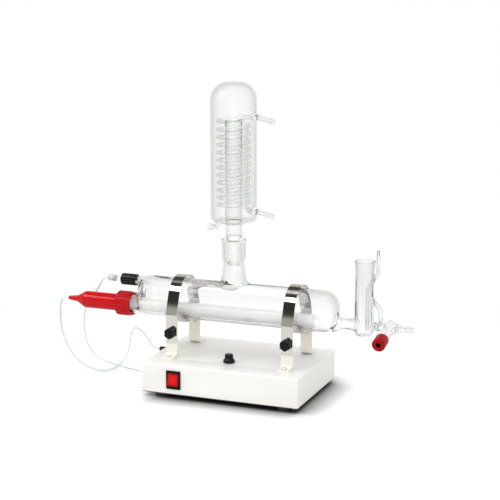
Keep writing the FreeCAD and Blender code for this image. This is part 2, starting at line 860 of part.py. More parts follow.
def make_switch():
    housing = body("SwitchHousing")
    half_wide = "(switch_width / 2)"
    half_tall = "(switch_tall / 2)"
    body_wide = "(switch_width / 2 - bezel_rim - screw_clearance)"
    body_tall = "(switch_tall / 2 - bezel_rim - screw_clearance)"
    well_wide = "(rocker_width / 2 + rocker_side_gap)"
    well_tall = "(rocker_half_height + rocker_end_gap)"
    pad(housing, "XZ", [soft_rectangle(f"-{half_wide}", f"-{half_tall}", half_wide, half_tall,
                                       "bezel_rim")], "bezel_thickness")
    pad(housing, "XZ", [rectangle(f"-{body_wide}", f"-{body_tall}", body_wide, body_tall)],
        "switch_body_depth", back=True)
    pocket(housing, "XZ", [rectangle(f"-{well_wide}", f"-{well_tall}", well_wide, well_tall)],
           "bezel_thickness + overrun", back=True)
    pocket(housing, "XZ", [rectangle(f"-{well_wide}", f"-{well_tall}", well_wide, well_tall)],
           "pivot_depth + rocker_half_height / 2")
    pocket(housing, "YZ", [("pivot_depth", "0", "pivot_radius + pivot_gap")], "switch_width")
    pocket(housing, "YZ", [("pivot_depth", "0", "pivot_radius + pivot_gap")], "switch_width",
           back=True)
    tags = [rectangle("-tag_width / 2", f"{level} - tag_thickness / 2",
                      "tag_width / 2", f"{level} + tag_thickness / 2")
            for level in ("-rocker_half_height / 2", "rocker_half_height / 2")]
    pad(housing, "XZ", tags, "switch_body_depth + tag_length", back=True)
    pocket(housing, "XZ", [rectangle(f"-{well_wide}", f"-{well_tall}", well_wide, well_tall)],
           "pivot_depth + rocker_half_height / 2")
    place(housing, ("-switch_left", f"-{FRONT}", "switch_height"))
    node("switch_housing", housing)

    rocker = body("Rocker")
    nose = "(pivot_depth + rocker_stand)"
    waist = "(rocker_stand - rocker_depth - pivot_radius)"
    waist_half = "(rocker_half_height - rocker_dish / 2)"
    pad(rocker, "YZ", [[(f"-{nose} + rocker_dish", "0"), (f"-{nose}", "rocker_half_height"),
                        (waist, waist_half),
                        ("pivot_radius * 2", "pivot_radius"),
                        ("pivot_radius * 2", "-pivot_radius"),
                        (waist, f"-{waist_half}"),
                        (f"-{nose}", "-rocker_half_height")]],
        "rocker_width", shift=("0", "0", "-rocker_width / 2"))
    pad(rocker, "YZ", [("0", "0", "pivot_radius")],
        "rocker_width + (rocker_side_gap + bezel_rim) * 2 - rocker_side_gap",
        shift=("0", "0", "-rocker_width / 2 - rocker_side_gap / 2 - bezel_rim"))
    place(rocker, ("-switch_left", f"-{FRONT} + pivot_depth", "switch_height"),
          FreeCAD.Rotation(Vec(1, 0, 0), -number("rocker_lean")))
    node("switch_rocker", rocker)


# Control knob, shaft and potentiometer

def make_control():
    pot = body("Pot")
    well = "(-cover_wall - pot_depth + pot_floor)"
    spin(pot, "V", [("0", "-cover_wall - pot_depth"),
                    ("pot_radius", "-cover_wall - pot_depth"),
                    ("pot_radius", "-cover_wall"),
                    ("bush_radius", "-cover_wall"),
                    ("bush_radius", "bush_height"),
                    ("shaft_radius + shaft_gap", "bush_height"),
                    ("shaft_radius + shaft_gap", well),
                    ("0", well)])
    place(pot, ("0", "-knob_front", TOP))
    node("pot_body", pot)
    node("pot_nut", hex_nut(("0", "-knob_front", TOP), UPRIGHT, "pot_nut_radius",
                            "bush_radius", "pot_nut_height"))
    hollow_top = "(knob_lift + knob_hollow_depth)"
    shaft = cylinder("shaft_radius", f"{hollow_top} + shaft_seat - {well} - shaft_gap",
                     ("0", "-knob_front", f"{TOP} + {well} + shaft_gap"))
    node("control_shaft", shaft)
    knob = body("Knob")
    spin(knob, "V", [("knob_hollow_radius", "0"),
                     ("knob_skirt_radius", "0"),
                     ("knob_skirt_radius", "knob_skirt_height - knob_edge"),
                     ("knob_skirt_radius - knob_edge", "knob_skirt_height"),
                     ("knob_top_radius", "knob_skirt_height + knob_edge"),
                     ("knob_top_radius", "knob_height", "knob_edge"),
                     ("0", "knob_height"),
                     ("0", "knob_hollow_depth + shaft_seat"),
                     ("shaft_radius", "knob_hollow_depth + shaft_seat"),
                     ("shaft_radius", "knob_hollow_depth"),
                     ("knob_hollow_radius", "knob_hollow_depth")])
    place(knob, ("0", "-knob_front", f"{TOP} + knob_lift"))
    node("control_knob", knob)


# Electronics on the bottom plate

def make_electronics():
    board_foot = f"({COVER_FOOT} + spacer_height)"
    board_top = f"({COVER_FOOT} + spacer_height + board_thickness)"
    left = "(board_left - board_length / 2)"
    near = "(board_back - board_depth / 2)"
    plate = box("board_length", "board_depth", "board_thickness", (left, near, board_foot))
    relay = box("relay_length", "relay_depth", "relay_height",
                (f"{left} + relay_length / 2", f"{near} + relay_depth / 2", board_top))
    caps = [cylinder("capacitor_radius", "capacitor_height",
                     (f"{left} + {spot}", f"{near} + relay_depth", board_top))
            for spot in ("capacitor_first", "capacitor_second")]
    node("control_board", fuse(plate, relay, *caps))

    sink_left = f"({left} + board_length - sink_length - spacer_inset)"
    sink_near = f"({near} + board_depth - sink_depth - spacer_inset)"
    spacing = "(sink_depth - fin_thickness) / (sink_fins - 1)"
    fins = [box("sink_length", "fin_thickness", "sink_height",
                (sink_left, f"{sink_near} + {step} * {spacing}", board_top))
            for step in range(int(number("sink_fins")))]
    web = box("sink_length", "sink_depth", "sink_web", (sink_left, sink_near, board_top))
    node("heat_sink", fuse(web, *fins))

    block_left = "(block_left - block_length / 2)"
    block_near = "(block_back - block_depth / 2)"
    block = box("block_length", "block_depth", "block_height",
                (block_left, block_near, COVER_FOOT))
    pitch = "block_length / block_ways"
    holes = [cylinder("block_hole_radius", "block_depth + overrun * 2",
                      (f"{block_left} + {pitch} * ({way} + 0.5)",
                       f"{block_near} + block_depth + overrun",
                       f"{COVER_FOOT} + block_height / 2"), FACING_FRONT)
             for way in range(int(number("block_ways")))]
    node("terminal_block", cut(block, *holes))


# Glands in the walls

def make_glands():
    for name, lead in (("heater", "heater_lead_radius"), ("sensor", "sensor_lead_radius")):
        gland = body("Gland")
        spin(gland, "H", [("cover_wall + gland_thread_length", "0"),
                          ("cover_wall + gland_thread_length", "gland_thread_radius"),
                          ("0", "gland_thread_radius"),
                          ("0", "gland_flange_radius"),
                          ("-gland_flange", "gland_flange_radius"),
                          ("-gland_flange", "gland_radius"),
                          ("-gland_nose", "gland_radius", "gland_round"),
                          ("-gland_nose", "0")])
        place(gland, (f"-{SIDE}", f"{name}_gland_back", f"{name}_gland_height"))
        node(f"{name}_gland", gland)
    mains = body("MainsGland")
    spin(mains, "V", [("mains_bore", "-cover_wall - gland_thread_length"),
                      ("mains_thread_radius", "-cover_wall - gland_thread_length"),
                      ("mains_thread_radius", "0"),
                      ("mains_gland_radius + gland_flange", "0"),
                      ("mains_gland_radius + gland_flange", "gland_flange"),
                      ("mains_gland_radius", "gland_flange"),
                      ("mains_gland_radius", "mains_gland_length - gland_flange"),
                      ("mains_gland_radius - gland_flange", "mains_gland_length"),
                      ("mains_bore", "mains_gland_length")])
    place(mains, ("mains_gland_left", FRONT, "mains_gland_height"), FACING_BACK)
    node("mains_gland", mains)
    nuts = [hex_nut((f"-{SIDE} + cover_wall + gland_nut_height", f"{name}_gland_back",
                     f"{name}_gland_height"), LAYING_LEFT, "gland_nut_radius",
                    "gland_thread_radius", "gland_nut_height")
            for name in ("heater", "sensor")]
    nuts.append(hex_nut(("mains_gland_left", f"{FRONT} - cover_wall", "mains_gland_height"),
                        FACING_FRONT, "mains_nut_radius", "mains_thread_radius",
                        "gland_nut_height"))
    node("gland_nuts", group(*nuts))


# Posts, cradles, straps and clamp screws

def make_posts():
    tall = f"axis_height - cradle_drop - {TOP}"
    for side, sign_x in (("left", "-"), ("right", "")):
        for end, sign_y in (("front", "-"), ("rear", "")):
            post = body("Post")
            shape = [("0", "0", "post_bend"), ("0", tall), ("post_thickness", tall),
                     ("post_thickness", "post_thickness", "post_bend - post_thickness"),
                     ("post_foot_length", "post_thickness"), ("post_foot_length", "0")]
            pad(post, "YZ", [shape], "strip_width", shift=("0", "0", "-strip_width / 2"))
            pocket(post, "XY", [("0", "post_screw_back", "screw_radius + screw_clearance")],
                   "post_thickness + overrun", back=True)
            pocket(post, "XZ", [("0", f"{CLAMP_HEIGHT} - {TOP}", "bolt_radius + bolt_clearance")],
                   "post_thickness + overrun")
            turn = UPRIGHT if sign_y == "" else FreeCAD.Rotation(Vec(0, 0, 1), 180)
            place(post, (f"{sign_x}clamp_spread", f"{sign_y}post_reach", TOP), turn)
            node(f"post_{end}_{side}", post)


def make_clamps():
    # The straight leg runs from the ring, where it leaves at this angle, to its knee.
    knee_drop = "(cradle_drop - strap_thickness * 2)"
    lean = (f"(acos((ring_radius + strap_thickness) / hypot({STRAP_OUT}; {knee_drop}))"
            f" - atan({knee_drop} / {STRAP_OUT}))")
    outer = "(ring_radius + strap_thickness)"
    outer_knee = f"(({outer} - {STRAP_OUT} * cos({lean})) / sin({lean}))"
    inner_knee = f"((ring_radius - {STRAP_IN} * cos({lean})) / sin({lean}))"
    ear_out = f"({STRAP_IN} - cradle_end_gap)"
    for side, sign_x in (("left", "-"), ("right", "")):
        strap = body("Strap")
        loop = [(STRAP_OUT, "-strap_leg_drop"), (STRAP_OUT, outer_knee),
                (f"{outer} * cos({lean})", f"{outer} * sin({lean})"),
                (f"-{outer} * cos({lean})", f"{outer} * sin({lean})", "0", "0", 1),
                (f"-{STRAP_OUT}", outer_knee), (f"-{STRAP_OUT}", "-strap_leg_drop"),
                (f"-{STRAP_IN}", "-strap_leg_drop"), (f"-{STRAP_IN}", inner_knee),
                (f"-ring_radius * cos({lean})", f"ring_radius * sin({lean})"),
                (f"ring_radius * cos({lean})", f"ring_radius * sin({lean})", "0", "0", -1),
                (STRAP_IN, inner_knee), (STRAP_IN, "-strap_leg_drop")]
        pad(strap, "YZ", [loop], "strip_width", shift=("0", "0", "-strip_width / 2"))
        for back in (False, True):
            pocket(strap, "XZ", [("0", "-clamp_drop", "bolt_radius + bolt_clearance")],
                   STRAP_OUT, back=back)
        place(strap, (f"{sign_x}clamp_spread", "0", "axis_height"))
        node(f"strap_{side}", strap)

        cradle = body("Cradle")
        thin = "(ring_radius - strap_thickness)"
        ear_top = "(cradle_drop - strap_thickness)"
        inner_y = f"sqrt({thin} * {thin} - {ear_top} * {ear_top})"
        outer_y = "sqrt(ring_radius * ring_radius - cradle_drop * cradle_drop)"
        loop = [(f"-{inner_y}", f"-{ear_top}"),
                (inner_y, f"-{ear_top}", "0", "0", 1),
                (ear_out, f"-{ear_top}"), (ear_out, "-cradle_drop"), (outer_y, "-cradle_drop"),
                (f"-{outer_y}", "-cradle_drop", "0", "0", -1),
                (f"-{ear_out}", "-cradle_drop"), (f"-{ear_out}", f"-{ear_top}")]
        pad(cradle, "YZ", [loop], "strip_width", shift=("0", "0", "-strip_width / 2"))
        place(cradle, (f"{sign_x}clamp_spread", "0", "axis_height"))
        node(f"cradle_{side}", cradle)

    pads = []
    for sign_x in ("-", ""):
        sector = primitive("Cylinder", {"Radius": "ring_radius - strap_thickness - seat_gap",
                                        "Height": "strip_width", "Angle": "pad_angle"},
                           (f"{sign_x}clamp_spread - strip_width / 2", "0", "axis_height"),
                           sector_turn())
        core = cylinder("boiler_radius + seat_gap", "strip_width + overrun * 2",
                        (f"{sign_x}clamp_spread - strip_width / 2 - overrun", "0",
                         "axis_height"), FreeCAD.Rotation(Vec(0, 1, 0), 90))
        pads.append(cut(sector, core))
    node("cradle_pads", group(*pads))


def sector_turn():
    # Lays the sector's axis along X with its middle pointing down.
    along = FreeCAD.Rotation(Vec(0, 1, 0), 90)
    return along.multiply(FreeCAD.Rotation(Vec(0, 0, 1), -number("pad_angle") / 2))


def make_clamp_screws():
    seat = f"({STRAP_OUT} + washer_thickness)"
    for side, sign_x in (("left", "-"), ("right", "")):
        washer = cut(cylinder("washer_radius", "washer_thickness",
                              (f"{sign_x}clamp_spread", f"-{STRAP_OUT}", CLAMP_HEIGHT),
                              FACING_FRONT),
                     cylinder("bolt_radius + shaft_gap", "washer_thickness",
                              (f"{sign_x}clamp_spread", f"-{STRAP_OUT}", CLAMP_HEIGHT),
                              FACING_FRONT))
        node(f"clamp_washer_{side}", washer)
        knob = body("ThumbKnob")
        spin(knob, "V", [("0", "thumb_length"),
                         ("thumb_radius", "thumb_length", "thumb_round"),
                         ("thumb_radius", "0", "thumb_round"),
                         ("bolt_radius", "0"),
                         ("bolt_radius", f"post_reach - {seat} - bolt_nut_height - bolt_end"),
                         ("0", f"post_reach - {seat} - bolt_nut_height - bolt_end")])
        notch = pocket(knob, "XY", [("thumb_radius + thumb_notch / 2", "0", "thumb_notch")],
                       "thumb_length + overrun", back=True)
        repeat_round(knob, notch, "Z", "thumb_lobes")
        place(knob, (f"{sign_x}clamp_spread", f"-{seat}", CLAMP_HEIGHT), FACING_FRONT)
        node(f"clamp_knob_{side}", knob)
    bolts = []
    nuts = []
    for sign_x in ("-", ""):
        head = hexagon("bolt_head_radius", "bolt_head_height",
                       (f"{sign_x}clamp_spread", STRAP_OUT, CLAMP_HEIGHT), FACING_BACK)
        shank = cylinder("bolt_radius",
                         "strap_thickness + post_thickness + bolt_nut_height + bolt_end",
                         (f"{sign_x}clamp_spread", STRAP_OUT, CLAMP_HEIGHT), FACING_FRONT)
        bolts.append(fuse(head, shank))
        nuts.append(hex_nut((f"{sign_x}clamp_spread", "post_reach", CLAMP_HEIGHT),
                            FACING_FRONT, "bolt_nut_radius", "bolt_radius",
                            "bolt_nut_height"))
        nuts.append(hex_nut((f"{sign_x}clamp_spread", "-post_reach", CLAMP_HEIGHT),
                            FACING_BACK, "bolt_nut_radius", "bolt_radius",
                            "bolt_nut_height"))
    node("strap_bolts", group(*bolts))
    node("clamp_nuts", group(*nuts))


# Boiler

def make_boiler():
    boiler = body("Boiler")
    spin(boiler, "H", [("-boiler_left", "0"), ("-boiler_left", "boiler_radius", "left_round"),
                       ("boiler_right", "boiler_radius", "right_round"), ("boiler_right", "0")])
    at_neck = ("-neck_offset", "0", "0")
    socket_foot = "(neck_height - ground_length - socket_step)"
    spin(boiler, "V", [("0", "boiler_radius / 2"), ("neck_flare", "boiler_radius / 2"),
                       ("neck_radius", socket_foot), ("0", socket_foot)], at_neck)
    reach = number(f"neck_flare - (neck_flare - neck_radius) * boiler_radius / 2"
                   f" / ({socket_foot} - boiler_radius / 2)")
    level = number("boiler_radius")
    spot = -number("neck_offset")

    def meets_neck(edge):
        bounds = edge.BoundBox
        return (abs(bounds.XMax - spot - reach) < 0.5 or abs(bounds.XMin - spot + reach) < 0.5) \
            and bounds.ZMin > level / 2 + 0.5 and bounds.ZMax < level + 0.5
    fillet(boiler, "neck_fillet", meets_neck)
    spin(boiler, "V", [("0", socket_foot), ("neck_radius", socket_foot),
                       ("socket_radius", f"{socket_foot} + socket_step"),
                       ("socket_radius", "neck_height - rim_height"),
                       ("rim_radius", "neck_height - rim_low"),
                       ("rim_radius", "neck_height - rim_high"),
                       ("socket_radius", "neck_height"), ("0", "neck_height")], at_neck)
    for name, rise in (("heater", "-heater_drop"), ("sensor", "sensor_rise")):
        spin(boiler, "H", [(f"-boiler_left - {name}_neck_length", "0"),
                           (f"-boiler_left - {name}_neck_length", f"{name}_neck_radius"),
                           ("-boiler_left + left_round", f"{name}_neck_radius"),
                           ("-boiler_left + left_round", "0")], ("0", rise, "0"))
    at_link = ("0", "-link_drop", "0")
    spin(boiler, "H", link_outline("0"), at_link)

    groove(boiler, "H", [("-boiler_left + boiler_wall", "0"),
                         ("-boiler_left + boiler_wall", "boiler_radius - boiler_wall",
                          "left_round - boiler_wall"),
                         ("boiler_right - boiler_wall", "boiler_radius - boiler_wall",
                          "right_round - boiler_wall"),
                         ("boiler_right - boiler_wall", "0")])
    ground_foot = "(neck_height - ground_length)"
    groove(boiler, "V", [("0", "boiler_radius / 2"),
                         ("neck_flare - boiler_wall", "boiler_radius / 2"),
                         ("ground_radius - ground_taper - boiler_wall / 2",
                          f"{ground_foot} - socket_step"),
                         ("ground_radius - ground_taper", ground_foot),
                         ("ground_radius", "neck_height"), ("0", "neck_height")], at_neck)
    for name, rise in (("heater", "-heater_drop"), ("sensor", "sensor_rise")):
        groove(boiler, "H", [(f"-boiler_left - {name}_neck_length - overrun", "0"),
                             (f"-boiler_left - {name}_neck_length - overrun",
                              f"{name}_neck_bore"),
                             ("-boiler_left + left_round + boiler_wall", f"{name}_neck_bore"),
                             ("-boiler_left + left_round + boiler_wall", "0")],
               ("0", rise, "0"))
    groove(boiler, "H", link_outline("link_wall"), at_link)
    groove(boiler, "V", rectangle("0", "-boiler_radius * 2", "vessel_radius", "boiler_radius"),
           ("vessel_right", "0", "0"))
    place(boiler, ("0", "0", "axis_height"))
    node("boiler", boiler)


def link_outline(wall):
    # The link tube's outline, drawn in by the given wall for its bore.
    start = "(boiler_right - boiler_wall * 3)"
    waist = "(boiler_right + link_flare_length)"
    foot = "(vessel_right - vessel_radius - link_foot_length)"
    return [(start, "0"), (start, f"link_flare - {wall}"),
            ("boiler_right", f"link_flare - {wall}"),
            (f"boiler_right + link_flare_length * {FLARE_SHARE}",
             f"link_radius + (link_flare - link_radius) * {FLARE_SHARE} - {wall}"),
            (waist, f"link_radius - {wall}"), (foot, f"link_radius - {wall}"),
            (f"{foot} + link_foot_length * (1 - {FLARE_SHARE})",
             f"link_radius + (link_foot - link_radius) * {FLARE_SHARE} - {wall}"),
            (f"{foot} + link_foot_length + boiler_wall", f"link_foot - {wall}"),
            ("vessel_right", f"link_foot - {wall}"), ("vessel_right", "0")]


# Heater with its cap, seal and boot

def make_heater():
    where = ("0", "0", HEATER_HEIGHT)
    sheath = body("Sheath")
    bore = "(sheath_radius - sheath_wall)"
    spin(sheath, "H", [("-sheath_left", bore), ("-sheath_left", "sheath_radius"),
                       ("sheath_right", "sheath_radius", "sheath_radius - sheath_wall"),
                       ("sheath_right", "0"), ("sheath_right - sheath_wall", "0"),
                       ("sheath_right - sheath_wall", bore, f"{bore} - sheath_wall")])
    place(sheath, where)
    node("heater_sheath", sheath)

    core = body("Core")
    right = f"(sheath_right - sheath_wall - {bore} + sheath_wall + core_end_gap)"
    spin(core, "H", [("-core_left", "core_bore"), ("-core_left", f"{bore} - seat_gap"),
                     (right, f"{bore} - seat_gap", "core_end_gap"), (right, "core_bore")])
    place(core, where)
    node("heater_core", core)

    seal = body("Seal")
    spin(seal, "H", [(f"-{HEATER_MOUTH} - heater_seal_thickness", "sheath_radius + seat_gap"),
                     (f"-{HEATER_MOUTH} - heater_seal_thickness", "heater_cap_bore - seat_gap"),
                     (f"-{HEATER_MOUTH}", "heater_cap_bore - seat_gap"),
                     (f"-{HEATER_MOUTH}", "sheath_radius + seat_gap")])
    place(seal, where)
    node("heater_seal", seal)

    make_cap("heater", "boot_radius + seat_gap", HEATER_CAP_FACE, HEATER_HEIGHT,
             "heater_cap_skirt_radius", "heater_cap_skirt")

    boot = body("Boot")
    start = f"({HEATER_CAP_FACE} + seat_gap)"
    end = f"({HEATER_CAP_FACE} + boot_length)"
    spin(boot, "H", [(f"-{start}", "sheath_radius"), (f"-{start}", "boot_radius"),
                     (f"-{end}", "boot_radius"),
                     (f"-{end} - boot_cone", "tail_radius"),
                     (f"-{end} - boot_cone - boot_tail", "tip_radius"),
                     (f"-{end} - boot_cone - boot_tail", "0"),
                     (f"-{start} - boot_hollow", "0"),
                     (f"-{start} - boot_hollow", "sheath_radius")])
    place(boot, where)
    node("heater_boot", boot)


def make_cap(name, hole, face, height, skirt_radius, skirt):
    # A ribbed screw cap, open towards the boiler, with a plain skirt at its open end.
    cap = body("Cap")
    outer = f"{name}_cap_radius"
    bore = f"{name}_cap_bore"
    wall = f"{name}_cap_wall"
    rib = f"{name}_cap_rib"
    end = f"(-{face} + {name}_cap_length)"
    spin(cap, "H", [(f"-{face}", hole), (f"-{face}", f"{outer} - {wall} / 2"),
                    (f"-{face} + {wall} / 2", outer),
                    (f"{end} - {skirt}", outer), (end, skirt_radius),
                    (end, bore), (f"-{face} + {wall}", bore), (f"-{face} + {wall}", hole)])
    notch = pocket(cap, "YZ", [("0", f"{outer} + {rib} * {NOTCH_SHARE}", rib)],
                   f"{name}_cap_length - {skirt} - {wall}",
                   shift=("0", "0", f"{end} - {skirt}"))
    repeat_round(cap, notch, "X", f"{name}_cap_ribs")
    place(cap, ("0", "0", height))
    node(f"{name}_cap", cap)


def make_winding():
    middle = Vec(0, 0, number(HEATER_HEIGHT))
    radius = number("winding_radius")
    wire = number("wire_radius")
    loops = int(number("winding_loops"))
    pitch = number("winding_pitch")
    right = number("winding_right")
    left = right - loops * pitch
    terminal = -number("core_left")
    along = Vec(1, 0, 0)
    across = (Vec(0, 1, 0), Vec(0, 0, 1))
    heights = [left + pitch * half / 2 for half in range(2 * loops + 1)]
    turns = turned_loop(middle, radius, 0, 2 * math.pi * loops, heights, across, along)
    aside = number("return_offset")
    lead_in = middle + Vec(left - pitch, radius - aside, -2 * aside)
    first = (Vec(terminal, lead_in.y, lead_in.z), along)
    bend = (lead_in, along)
    back = (middle + Vec(right, -aside, aside), Vec(-1, 0, 0))
    last = (Vec(terminal, back[0].y, back[0].z), Vec(-1, 0, 0))
    path = station_path([first, bend] + turns + [back, last])
    print("winding: least gap to itself",
          round(least_gap(Part.Wire(path.Edges[3:-5]), wire, wire, pitch * 2), 2))
    made("heater_winding", sweep(path, wire))


# Level sensor

def make_sensor():
    where = ("0", "0", SENSOR_HEIGHT)
    tube = body("SensorTube")
    bore = "(sensor_tube_radius - sensor_tube_wall)"
    spin(tube, "H", [("-sensor_tube_left", bore), ("-sensor_tube_left", "sensor_tube_radius"),
                     ("-sensor_tube_right", "sensor_tube_radius", "sensor_tip_round"),
                     ("-sensor_tube_right", "0"),
                     ("-sensor_tube_right - sensor_tube_wall", "0"),
                     ("-sensor_tube_right - sensor_tube_wall", bore, "sensor_tip_round - sensor_tube_wall")])
    place(tube, where)
    node("sensor_tube", tube)
    node("sensor_probe", cylinder(f"{bore} - seat_gap", "probe_length",
                                  (f"-sensor_tube_right - sensor_tube_wall - {bore}", "0",
                                   SENSOR_HEIGHT), LAYING_LEFT))
    seal = body("SensorSeal")
    spin(seal, "H", [(f"-{SENSOR_MOUTH} - sensor_seal_thickness", "sensor_tube_radius + seat_gap"),
                     (f"-{SENSOR_MOUTH} - sensor_seal_thickness", "sensor_cap_bore - seat_gap"),
                     (f"-{SENSOR_MOUTH}", "sensor_cap_bore - seat_gap"),
                     (f"-{SENSOR_MOUTH}", "sensor_tube_radius + seat_gap")])
    place(seal, where)
    node("sensor_seal", seal)
    make_cap("sensor", "sensor_tube_radius + seat_gap * 2", SENSOR_CAP_FACE, SENSOR_HEIGHT,
             "sensor_cap_radius", "sensor_cap_wall")
    sleeve = body("Sleeve")
    left = "(sensor_tube_left + sleeve_solid)"
    spin(sleeve, "H", [(f"-{left}", "0"), (f"-{left}", "sleeve_radius"),
                       (f"-{left} + sleeve_length", "sleeve_radius"),
                       (f"-{left} + sleeve_length", "sensor_tube_radius"),
                       ("-sensor_tube_left", "sensor_tube_radius"),
                       ("-sensor_tube_left", "0")])
    place(sleeve, where)
    node("sensor_sleeve", sleeve)


# Condenser

def nozzle_axis_height(level):
    return f"{JOINT_TOP} + {level} + jacket_radius * tan(nozzle_tilt * 1deg)"


def make_condenser():
    where = ("-neck_offset", "0", JOINT_TOP)
    stem = body("Stem")
    foot = "(ground_radius - ground_taper - ground_gap)"
    spin(stem, "V", [("drip_radius - glass_wall", "-ground_length - drip_length"),
                     ("drip_radius", "-ground_length - drip_length"),
                     (foot, "-ground_length"),
                     ("ground_radius - ground_gap", "0"),
                     ("ground_radius - ground_gap", "stem_rim / 4"),
                     ("stem_radius", "stem_rim"),
                     ("stem_radius", "stem_height"),
                     ("stem_radius - glass_wall", "stem_height"),
                     ("stem_radius - glass_wall", "-ground_length"),
                     ("drip_radius - glass_wall", "-ground_length - drip_length / 2")])
    place(stem, where)
    node("condenser_stem", stem)

    jacket = body("Jacket")
    top = "(jacket_lift + jacket_height)"
    spin(jacket, "V", [("stem_radius", "jacket_lift"),
                       ("jacket_radius", "jacket_lift", "jacket_round"),
                       ("jacket_radius", top, "dome_round"),
                       ("0", top), ("0", f"{top} - glass_wall"),
                       ("jacket_radius - glass_wall", f"{top} - glass_wall",
                        "dome_round - glass_wall"),
                       ("jacket_radius - glass_wall", "jacket_lift + glass_wall",
                        "jacket_round - glass_wall"),
                       ("stem_radius", "jacket_lift + glass_wall")])
    place(jacket, where)
    tilt = FreeCAD.Rotation(Vec(0, 1, 0), 90 + number("nozzle_tilt"))
    holes = [cylinder("nozzle_bore", "jacket_radius + overrun",
                      ("-neck_offset", "0", nozzle_axis_height(level)), tilt)
             for level in ("nozzle_high", "nozzle_low")]
    drain = cylinder("outlet_bore", "glass_wall + overrun * 2",
                     ("-neck_offset - outlet_left", "-outlet_front",
                      f"{JOINT_TOP} + jacket_lift - overrun"))
    node("condenser_jacket", cut(jacket, *holes, drain))

    nozzles = []
    for level in ("nozzle_high", "nozzle_low"):
        nozzle = body("Nozzle")
        outline = [("jacket_radius - nozzle_flare", "nozzle_bore"),
                   ("jacket_radius - nozzle_flare", "nozzle_root"),
                   ("jacket_radius", "nozzle_root"),
                   ("jacket_radius + nozzle_flare / 2", "nozzle_radius + barb_rise"),
                   ("jacket_radius + nozzle_flare", "nozzle_radius")]
        for barb in range(int(number("barb_count")), 0, -1):
            outline += [(f"nozzle_reach - barb_length * {barb}", "nozzle_radius"),
                        (f"nozzle_reach - barb_length * {barb}", "nozzle_radius + barb_rise")]
        outline += [("nozzle_reach", "nozzle_radius"), ("nozzle_reach", "nozzle_bore")]
        spin(nozzle, "H", outline)
        place(nozzle, ("-neck_offset", "0", nozzle_axis_height(level)),
              FreeCAD.Rotation(Vec(0, 1, 0), number("nozzle_tilt")))
        nozzles.append(cut(nozzle, cylinder("jacket_radius", "jacket_height",
                                            ("-neck_offset", "0",
                                             f"{JOINT_TOP} + jacket_lift"))))
    node("hose_nozzles", group(*nozzles))


def make_coil():
    middle = Vec(number("-neck_offset"), 0, number(JOINT_TOP))
    radius = number("coil_radius")
    tube = number("coil_tube_radius")
    lead = number("coil_lead_round")
    pitch = number("coil_pitch")
    turns = int(number("coil_turns"))
    wall = number("jacket_radius - coil_end_gap")
    low = number("nozzle_low")
    high = number("nozzle_high")
    up = Vec(0, 0, 1)
    outward = Vec(1, 0, 0)
    # The lead bends inwards from the wall until it runs along the coil.
    open_angle = math.asin(lead / (radius + lead))
    lead_x = radius * math.cos(open_angle) + lead * math.cos(open_angle)
    steps = 2 * turns
    first_level = number("coil_bottom")
    levels = [first_level + pitch * half / 2 for half in range(steps - 1)]
    heights = [low] + levels + [high]
    stop = 2 * math.pi * turns - open_angle
    stations = turned_loop(middle, radius, open_angle, stop, heights,
                           (outward, Vec(0, 1, 0)), up)
    begin = [(middle + outward * wall + up * low, outward * -1),
             (middle + outward * lead_x + up * low, outward * -1)]
    end = [(middle + outward * lead_x + up * high, outward),
           (middle + outward * wall + up * high, outward)]
    path = station_path(begin + stations + end)
    print("coil: least gap to itself", round(least_gap(path, tube, tube / 2, pitch * 3), 2))
    shape = sweep(path, tube).cut(sweep(path, number("coil_tube_bore")))
    made("condenser_coil", shape)


def make_outlet():
    middle = Vec(number("-neck_offset"), 0, number(JOINT_TOP) + number("jacket_lift"))
    rise = number("overrun")
    left = number("outlet_left")
    front = number("outlet_front")
    knee = Vec(-number("outlet_knee_left"), -number("outlet_knee_front"),
               -number("outlet_drop"))
    root = Vec(-left, -front, 0)
    above = root - unit(knee - root) * rise
    end = Vec(-number("outlet_end_left"), -number("outlet_end_front"),
              number("outlet_rise") - number("outlet_drop"))
    path, radii = run_path([middle + above, middle + knee, middle + end])
    outer = sweep(path, number("outlet_radius"))
    heading = unit(end - knee)
    flare = number("outlet_flare")
    back = number("outlet_radius")
    outer = outer.fuse(Part.makeCone(back, flare, back, middle + end - heading * back, heading))
    inner = sweep(path, number("outlet_bore"))
    inner = inner.fuse(Part.makeCone(number("outlet_bore"), flare - (back - number("outlet_bore")),
                                     back, middle + end - heading * back, heading))
    shape = outer.cut(inner).cut(Part.makeCylinder(
        number("jacket_radius"), number("jacket_height"), middle))
    made("distillate_outlet", shape)


# Level vessel, its side tubes and the drain valve

def make_vessel():
    vessel = body("Vessel")
    inner = "(vessel_radius - vessel_wall)"
    spin(vessel, "V", [("0", "0"), ("vessel_radius", "0", "vessel_round"),
                       ("vessel_radius", "vessel_height - mouth_height"),
                       ("mouth_radius", "vessel_height"),
                       ("mouth_radius - vessel_wall", "vessel_height"),
                       (inner, "vessel_height - mouth_height"),
                       (inner, "vessel_wall", "vessel_round - vessel_wall"),
                       ("0", "vessel_wall")])
    ports = [("-link_drop", "link_foot - link_wall", "-"),
             ("-valve_drop", "valve_tube_bore", ""),
             (INLET_PORT, "inlet_bore", ""),
             ("overflow_root", "side_tube_bore", "")]
    for level, radius, sign in ports:
        groove(vessel, "H", rectangle("0", "0", f"{sign}(vessel_radius + overrun)", radius),
               ("0", f"vessel_drop + {level}", "0"))
    place(vessel, ("vessel_right", "0", "axis_height - vessel_drop"))
    node("level_vessel", vessel)


def side_point(out, level):
    return Vec(number("vessel_right") + number(out), 0, number(f"axis_height + {level}"))


def vessel_column(radius):
    return Part.makeCylinder(number(radius), number("vessel_height * 2"),
                             side_point("0", "-vessel_height"))


